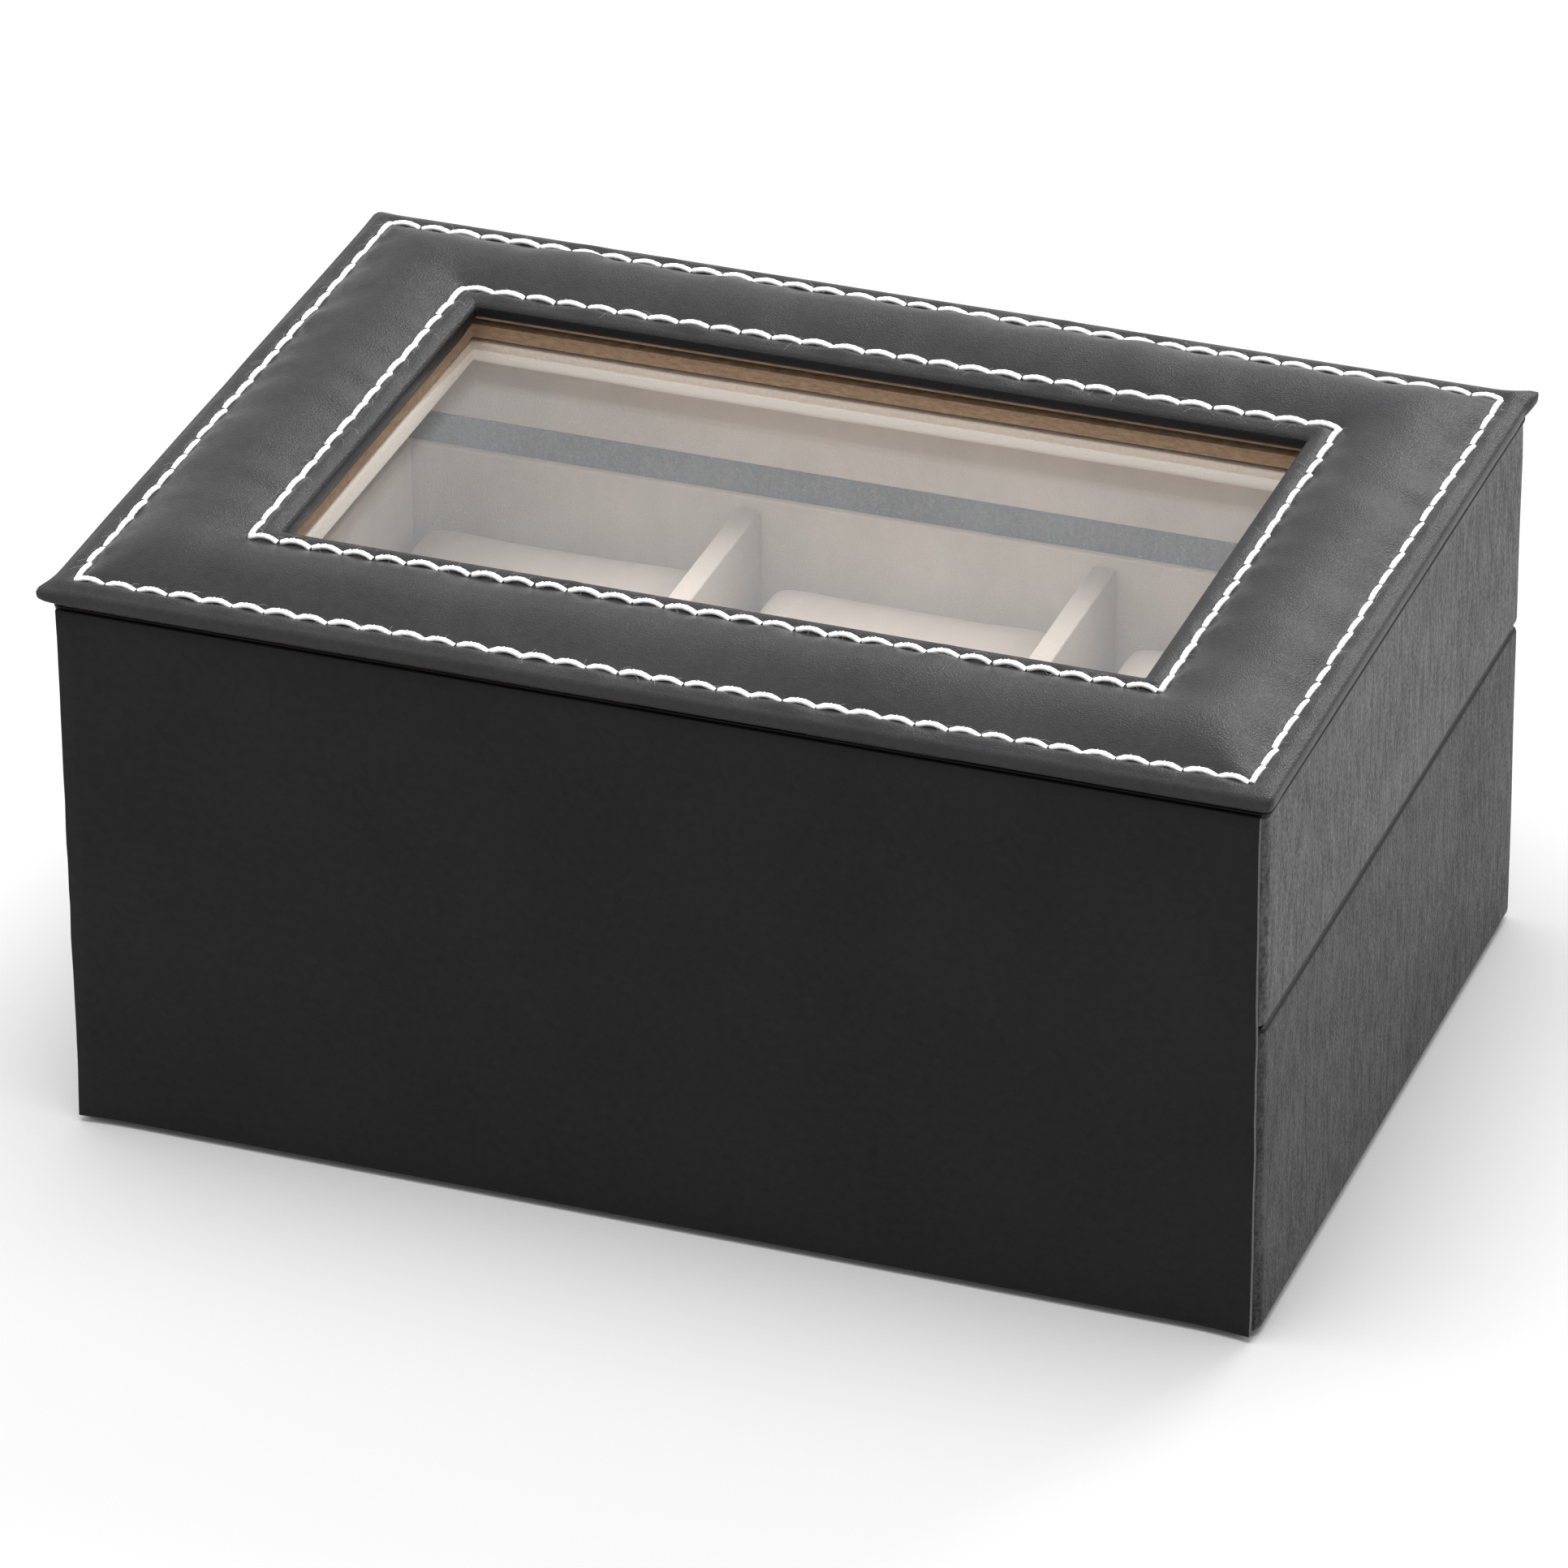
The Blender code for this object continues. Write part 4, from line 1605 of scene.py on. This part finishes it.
    def skin_place(self, x: float, z: float, high: Vector) -> tuple[float, float, float]:
        """Where a point of the hinge skin lies: nearly flat, with lifted lower corners.

        Args:
            x: its column.
            z: its row.
            high: the skin's highest corner.

        Returns:
            The place.
        """
        flat_y = self.base_skin.low.y
        calm = min(1.0, abs(z - SEAM_Z) / (5 * MM), max(0.0, (high.z - z) / (5 * MM)))
        wave = noise.noise(Vector((x * 24, 3.3, z * 24))) * 0.20 * MM * calm
        rise = (z - self.base_skin.low.z) * 0.6
        near_right = max(0.0, 1 - math.hypot(high.x - x, rise) / (12 * MM))
        near_left = max(0.0, 1 - math.hypot(high.x + x, rise) / (9 * MM))
        edge = noise.noise(Vector((0.4, 7.7, z * 90))) * 0.25 * MM
        spread = edge if abs(x) > high.x - 0.5 * MM else 0.0
        lift = -0.9 * MM * near_right ** 2 - 0.5 * MM * near_left ** 2
        return (x + math.copysign(spread, x), flat_y - abs(wave) * 0.6 + lift, z)

    def build_tape(self) -> None:
        """Make the thin tape that hides the fold inside."""
        low, high = self.tape.low, self.tape.high

        def place(x: float, z: float) -> tuple[float, float, float]:
            """Where a point lies: nearly flat."""
            return x, high.y + noise.noise(Vector((x * 60, 1.0, z * 60))) * 0.06 * MM, z

        mesh = grid("fold_tape", np.linspace(low.x, high.x, 60), np.linspace(low.z, high.z, 16),
                    place, False)
        made = new_object("fold_tape", mesh, self.finishes.hinge_skin)
        give_thickness(made, high.y - low.y)
        freeze(made)
        made.data.shade_smooth()
        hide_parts("inner_hinge_strip")
        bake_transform(made)

    def build(self) -> None:
        """Make every skin of the walls."""
        self.cover("base_wrap", "base_cover", self.base_section(), self.finishes.side_base, 1.0)
        self.cover("lid_wrap", "lid_cover", self.lid_section(), self.finishes.side_lid, 2.0)
        self.build_hinge_skin()
        self.build_tape()


# ---------------------------------------------------------------------------- interior
@dataclass
class Interior:
    """The velvet-covered linings and dividers, and the boards behind them.

    Args:
        finishes: the box's finishes.
        top_radius: rounding of the dividers' flocked edges.
        lining_radius: rounding of the linings' edges.
        pane_thickness: thickness of the glass that shows.
    """

    finishes: Finishes
    top_radius: float = 1.7 * MM
    lining_radius: float = 0.5 * MM
    pane_thickness: float = 0.5 * MM

    def flocked(self, node: str, name: str, radius: float, finish: bpy.types.Material,
                wave: float = 0.0) -> bpy.types.Object:
        """A velvet-covered piece with soft edges.

        Args:
            node: the node that it stands for.
            name: the piece's name.
            radius: rounding of its edges.
            finish: its material.
            wave: how far its surface strays.

        Returns:
            The piece.
        """
        made = softened(node, name, radius, finish)
        if wave:
            cut_long_faces(made)
        freeze(made)
        if wave:
            ripple(made.data, wave, 0.018, len(name), lambda place: Vector((0.6, 0.6, 0.5)))
        made.data.shade_smooth()
        return made

    def thin_pane(self) -> None:
        """The pane as the thin sheet that shows, with the retaining frame close beneath it."""
        box = Extent.of("window_pane")
        shape = bmesh.new()
        bmesh.ops.create_cube(shape, size=1.0)
        bmesh.ops.scale(shape, vec=(box.size.x, box.size.y, self.pane_thickness), verts=shape.verts)
        lift = (box.centre.x, box.centre.y, box.high.z - self.pane_thickness / 2)
        bmesh.ops.translate(shape, vec=lift, verts=shape.verts)
        mesh = bpy.data.meshes.new("glass_sheet")
        shape.to_mesh(mesh)
        shape.free()
        pane = new_object("glass_sheet", mesh, self.finishes.glass)
        mesh.shade_flat()
        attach(pane, "lid")
        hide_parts("window_pane")
        retainer = self.flocked("pane_retainer", "retainer_velvet", 0.5 * MM, self.finishes.retainer,
                                0.2 * MM)
        places = positions(retainer.data)
        low, high = places[:, 2].min(), box.high.z - self.pane_thickness - 0.08 * MM
        stretch = (high - low) / (places[:, 2].max() - low)
        places[:, 2] = low + (places[:, 2] - low) * stretch
        set_positions(retainer.data, places)

    def thin_foam(self) -> None:
        """The frame's foam, pressed down where the skin is sewn to the card."""
        node = "frame_padding"
        made = softened(node, "pressed_foam", 0.5 * MM, self.finishes.foam)
        freeze(made)
        places = positions(made.data)
        low, high = places.min(0), places.max(0)
        shrink = 1.0 - 2.5 * MM / np.abs(high)
        wide = np.abs(places[:, :2]) > (high[:2] - 4 * MM)
        places[:, :2] *= np.where(wide, shrink[:2], 1.0 + 2.5 * MM / (high[:2] * 0.77))
        places[:, 2] = low[2] + (places[:, 2] - low[2]) * 0.5
        set_positions(made.data, places)

    def build(self) -> None:
        """Make the interior."""
        looks = self.finishes
        for side in ("front", "back", "left", "right"):
            self.flocked(f"base_{side}_lining", f"base_{side}_velvet", self.lining_radius, looks.lining)
            self.flocked(f"lid_{side}_lining", f"lid_{side}_velvet", self.lining_radius, looks.lining)
        self.flocked("base_floor_lining", "floor_velvet", 0.4 * MM, looks.lining)
        self.thin_pane()
        for node in ("long_divider_1", "cross_divider_1", "cross_divider_2"):
            self.flocked(node, node.replace("_1", "_a").replace("_2", "_b") + "_velvet",
                         self.top_radius, looks.pillow, 0.25 * MM)
        self.thin_foam()
        plain = {"felt": ["base_underside"], "greyboard": ["frame_card"],
                 "fibreboard": ["base_bottom_board", "lid_top_board"]
                 + [f"{body}_{side}_board" for body in ("base", "lid")
                    for side in ("front", "back", "left", "right")]}
        materials = {"felt": looks.felt, "greyboard": looks.card, "fibreboard": looks.board}
        for kind, nodes in plain.items():
            for node in nodes:
                part = frame["nodes"][node]
                part.data.materials.clear()
                part.data.materials.append(materials[kind])
                log.info("Interior: %s, dressed as %s", node, kind)


# ----------------------------------------------------------------------------- pillows
@dataclass
class Pillows:
    """The six velvet pillows.

    Args:
        finishes: the box's finishes.
        cell: width of the simulated mesh.
        rounding: how round the stuffing is before it fills its cover.
        count: how many pillows there are.
    """

    finishes: Finishes
    cell: float = 3.0 * MM
    rounding: float = 3.2 * MM
    count: int = 6

    def blank(self, extent: Extent) -> bpy.types.Object:
        """A rounded block with an even mesh, a little smaller than the pillow's box.

        Args:
            extent: the pillow's box.

        Returns:
            The block.
        """
        shape = bmesh.new()
        bmesh.ops.create_cube(shape, size=1.0)
        size = extent.size
        bmesh.ops.scale(shape, vec=[side - self.cell for side in size], verts=shape.verts)
        mesh = bpy.data.meshes.new("pillow_blank")
        shape.to_mesh(mesh)
        shape.free()
        made = new_object("pillow_blank", mesh)
        soft = made.modifiers.new("round", "BEVEL")
        soft.width = self.rounding
        soft.segments = 5
        even = made.modifiers.new("even", "REMESH")
        even.mode = "VOXEL"
        even.voxel_size = self.cell
        freeze(made)
        return made

    def one(self, number: int) -> None:
        """Make one pillow: stuff it, fit it to its box and cover it.

        Args:
            number: which pillow, from 1.
        """
        node = f"pillow_{number}"
        extent = Extent.of(node)
        blank = self.blank(extent)
        mesh = blank.data
        ripple(mesh, 0.25 * MM, 0.016, number, lambda place: place.normalized())
        places = positions(mesh)
        floor = (places[:, 2] < places[:, 2].min() + self.cell).astype(float)
        places = Puff(pressure=3.0, slack=0.0, bending=2.0, reach=0.8 * MM).run(mesh, floor)
        low, high = places.min(0), places.max(0)
        size = np.array(extent.size) - np.array((0.6 * MM, 0.6 * MM, 0.0))
        places = (places - (low + high) / 2) * (size / (high - low))
        set_positions(mesh, places + np.array(extent.centre) + np.array((0, 0, 0.3 * MM)))
        blank.name = f"{node}_velvet"
        blank.data.name = blank.name
        grow_subdivision(blank, 1)
        freeze(blank)
        blank.data.materials.append(self.finishes.pillow)
        blank.data.shade_smooth()
        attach(blank, node)
        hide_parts(node)

    def build(self) -> None:
        """Make the pillows."""
        for number in range(1, self.count + 1):
            self.one(number)


# ------------------------------------------------------------------------------ studio
@dataclass
class Studio:
    """A pale floor, soft lights and the camera.

    Args:
        target: the point that the camera looks at.
        distance: distance from it.
        azimuth: the camera's direction, in degrees.
        elevation: its height above the horizon, in degrees.
        roll: how far the view leans, in degrees.
        lens: focal length in millimetres on a 36 mm sensor.
    """

    target: tuple[float, float, float] = (0.00109, -0.01119, 0.05)
    distance: float = 1.6337
    azimuth: float = 20.33
    elevation: float = 29.84
    roll: float = 0.54
    lens: float = 233.7

    def floor(self) -> None:
        """Make the floor."""
        half = 6.0
        points = [(-half, -half, 0.0), (half, -half, 0.0), (half, half, 0.0), (-half, half, 0.0)]
        paint = Paint("studio_floor")
        material = paint.finish(Base_Color=(0.45, 0.45, 0.45, 1.0), Roughness=0.9,
                                Specular_IOR_Level=0.0)
        floor = mesh_of("studio_floor", points, [(0, 1, 2, 3)])
        new_object("studio_floor", floor, material)

    def area_light(self, name: str, place: Sequence[float], size: float,
                   power: float) -> bpy.types.Object:
        """A square soft light aimed at the box.

        Args:
            name: its name.
            place: where it hangs.
            size: length of its sides.
            power: its power in watts.

        Returns:
            The light.
        """
        light = bpy.data.lights.new(name, "AREA")
        light.shape = "SQUARE"
        light.size = size
        light.energy = power
        made = bpy.data.objects.new(name, light)
        made.location = place
        aim = Vector(self.target) - made.location
        made.rotation_euler = aim.to_track_quat("-Z", "Y").to_euler()
        bpy.context.scene.collection.objects.link(made)
        return made

    def lights(self) -> None:
        """White surroundings and soft lights."""
        world = bpy.data.worlds.new("studio_white")
        world.use_nodes = True
        background = world.node_tree.nodes["Background"]
        background.inputs["Color"].default_value = (1.0, 1.0, 1.0, 1.0)
        background.inputs["Strength"].default_value = 0.8
        bpy.context.scene.world = world
        overhead = self.area_light("overhead_light", (-0.1, -0.1, 1.7), 1.5, 52.0)
        overhead.visible_glossy = False
        self.area_light("back_light", (0.38, 1.3, 0.95), 0.7, 16.0)
        scene = bpy.context.scene
        scene.view_settings.view_transform = "Standard"
        scene.view_settings.look = "None"

    def camera(self) -> None:
        """Place the camera."""
        turn, tilt = math.radians(self.azimuth), math.radians(self.elevation)
        away = Vector((math.sin(turn) * math.cos(tilt), -math.cos(turn) * math.cos(tilt), math.sin(tilt)))
        view = bpy.data.cameras.new("studio_camera")
        view.lens = self.lens
        view.sensor_width = 36.0
        view.clip_end = 20.0
        made = bpy.data.objects.new("studio_camera", view)
        facing = (-away).to_track_quat("-Z", "Y").to_matrix()
        facing = facing @ Matrix.Rotation(math.radians(-self.roll), 3, "Z")
        place = Matrix.Translation(Vector(self.target) + away * self.distance)
        made.matrix_world = place @ facing.to_4x4()
        bpy.context.scene.collection.objects.link(made)
        bpy.context.scene.camera = made

    def build(self) -> None:
        """Make the studio."""
        self.floor()
        self.lights()
        self.camera()


def main() -> None:
    """Build the box and its studio, in order."""
    finishes = Finishes()
    for maker in (Interior(finishes), Pillows(finishes), WrappedWalls(finishes),
                  PaddedFrame(finishes), Studio()):
        before = {piece.name for piece in bpy.data.objects}
        maker.build()
        for piece in bpy.data.objects:
            if piece.name not in before:
                faces = len(piece.data.polygons) if piece.type == "MESH" else 0
                log.info("%s: %s, %d faces", type(maker).__name__, piece.name, faces)


if __name__ == "__main__":
    logging.basicConfig(level=logging.INFO)
    main()
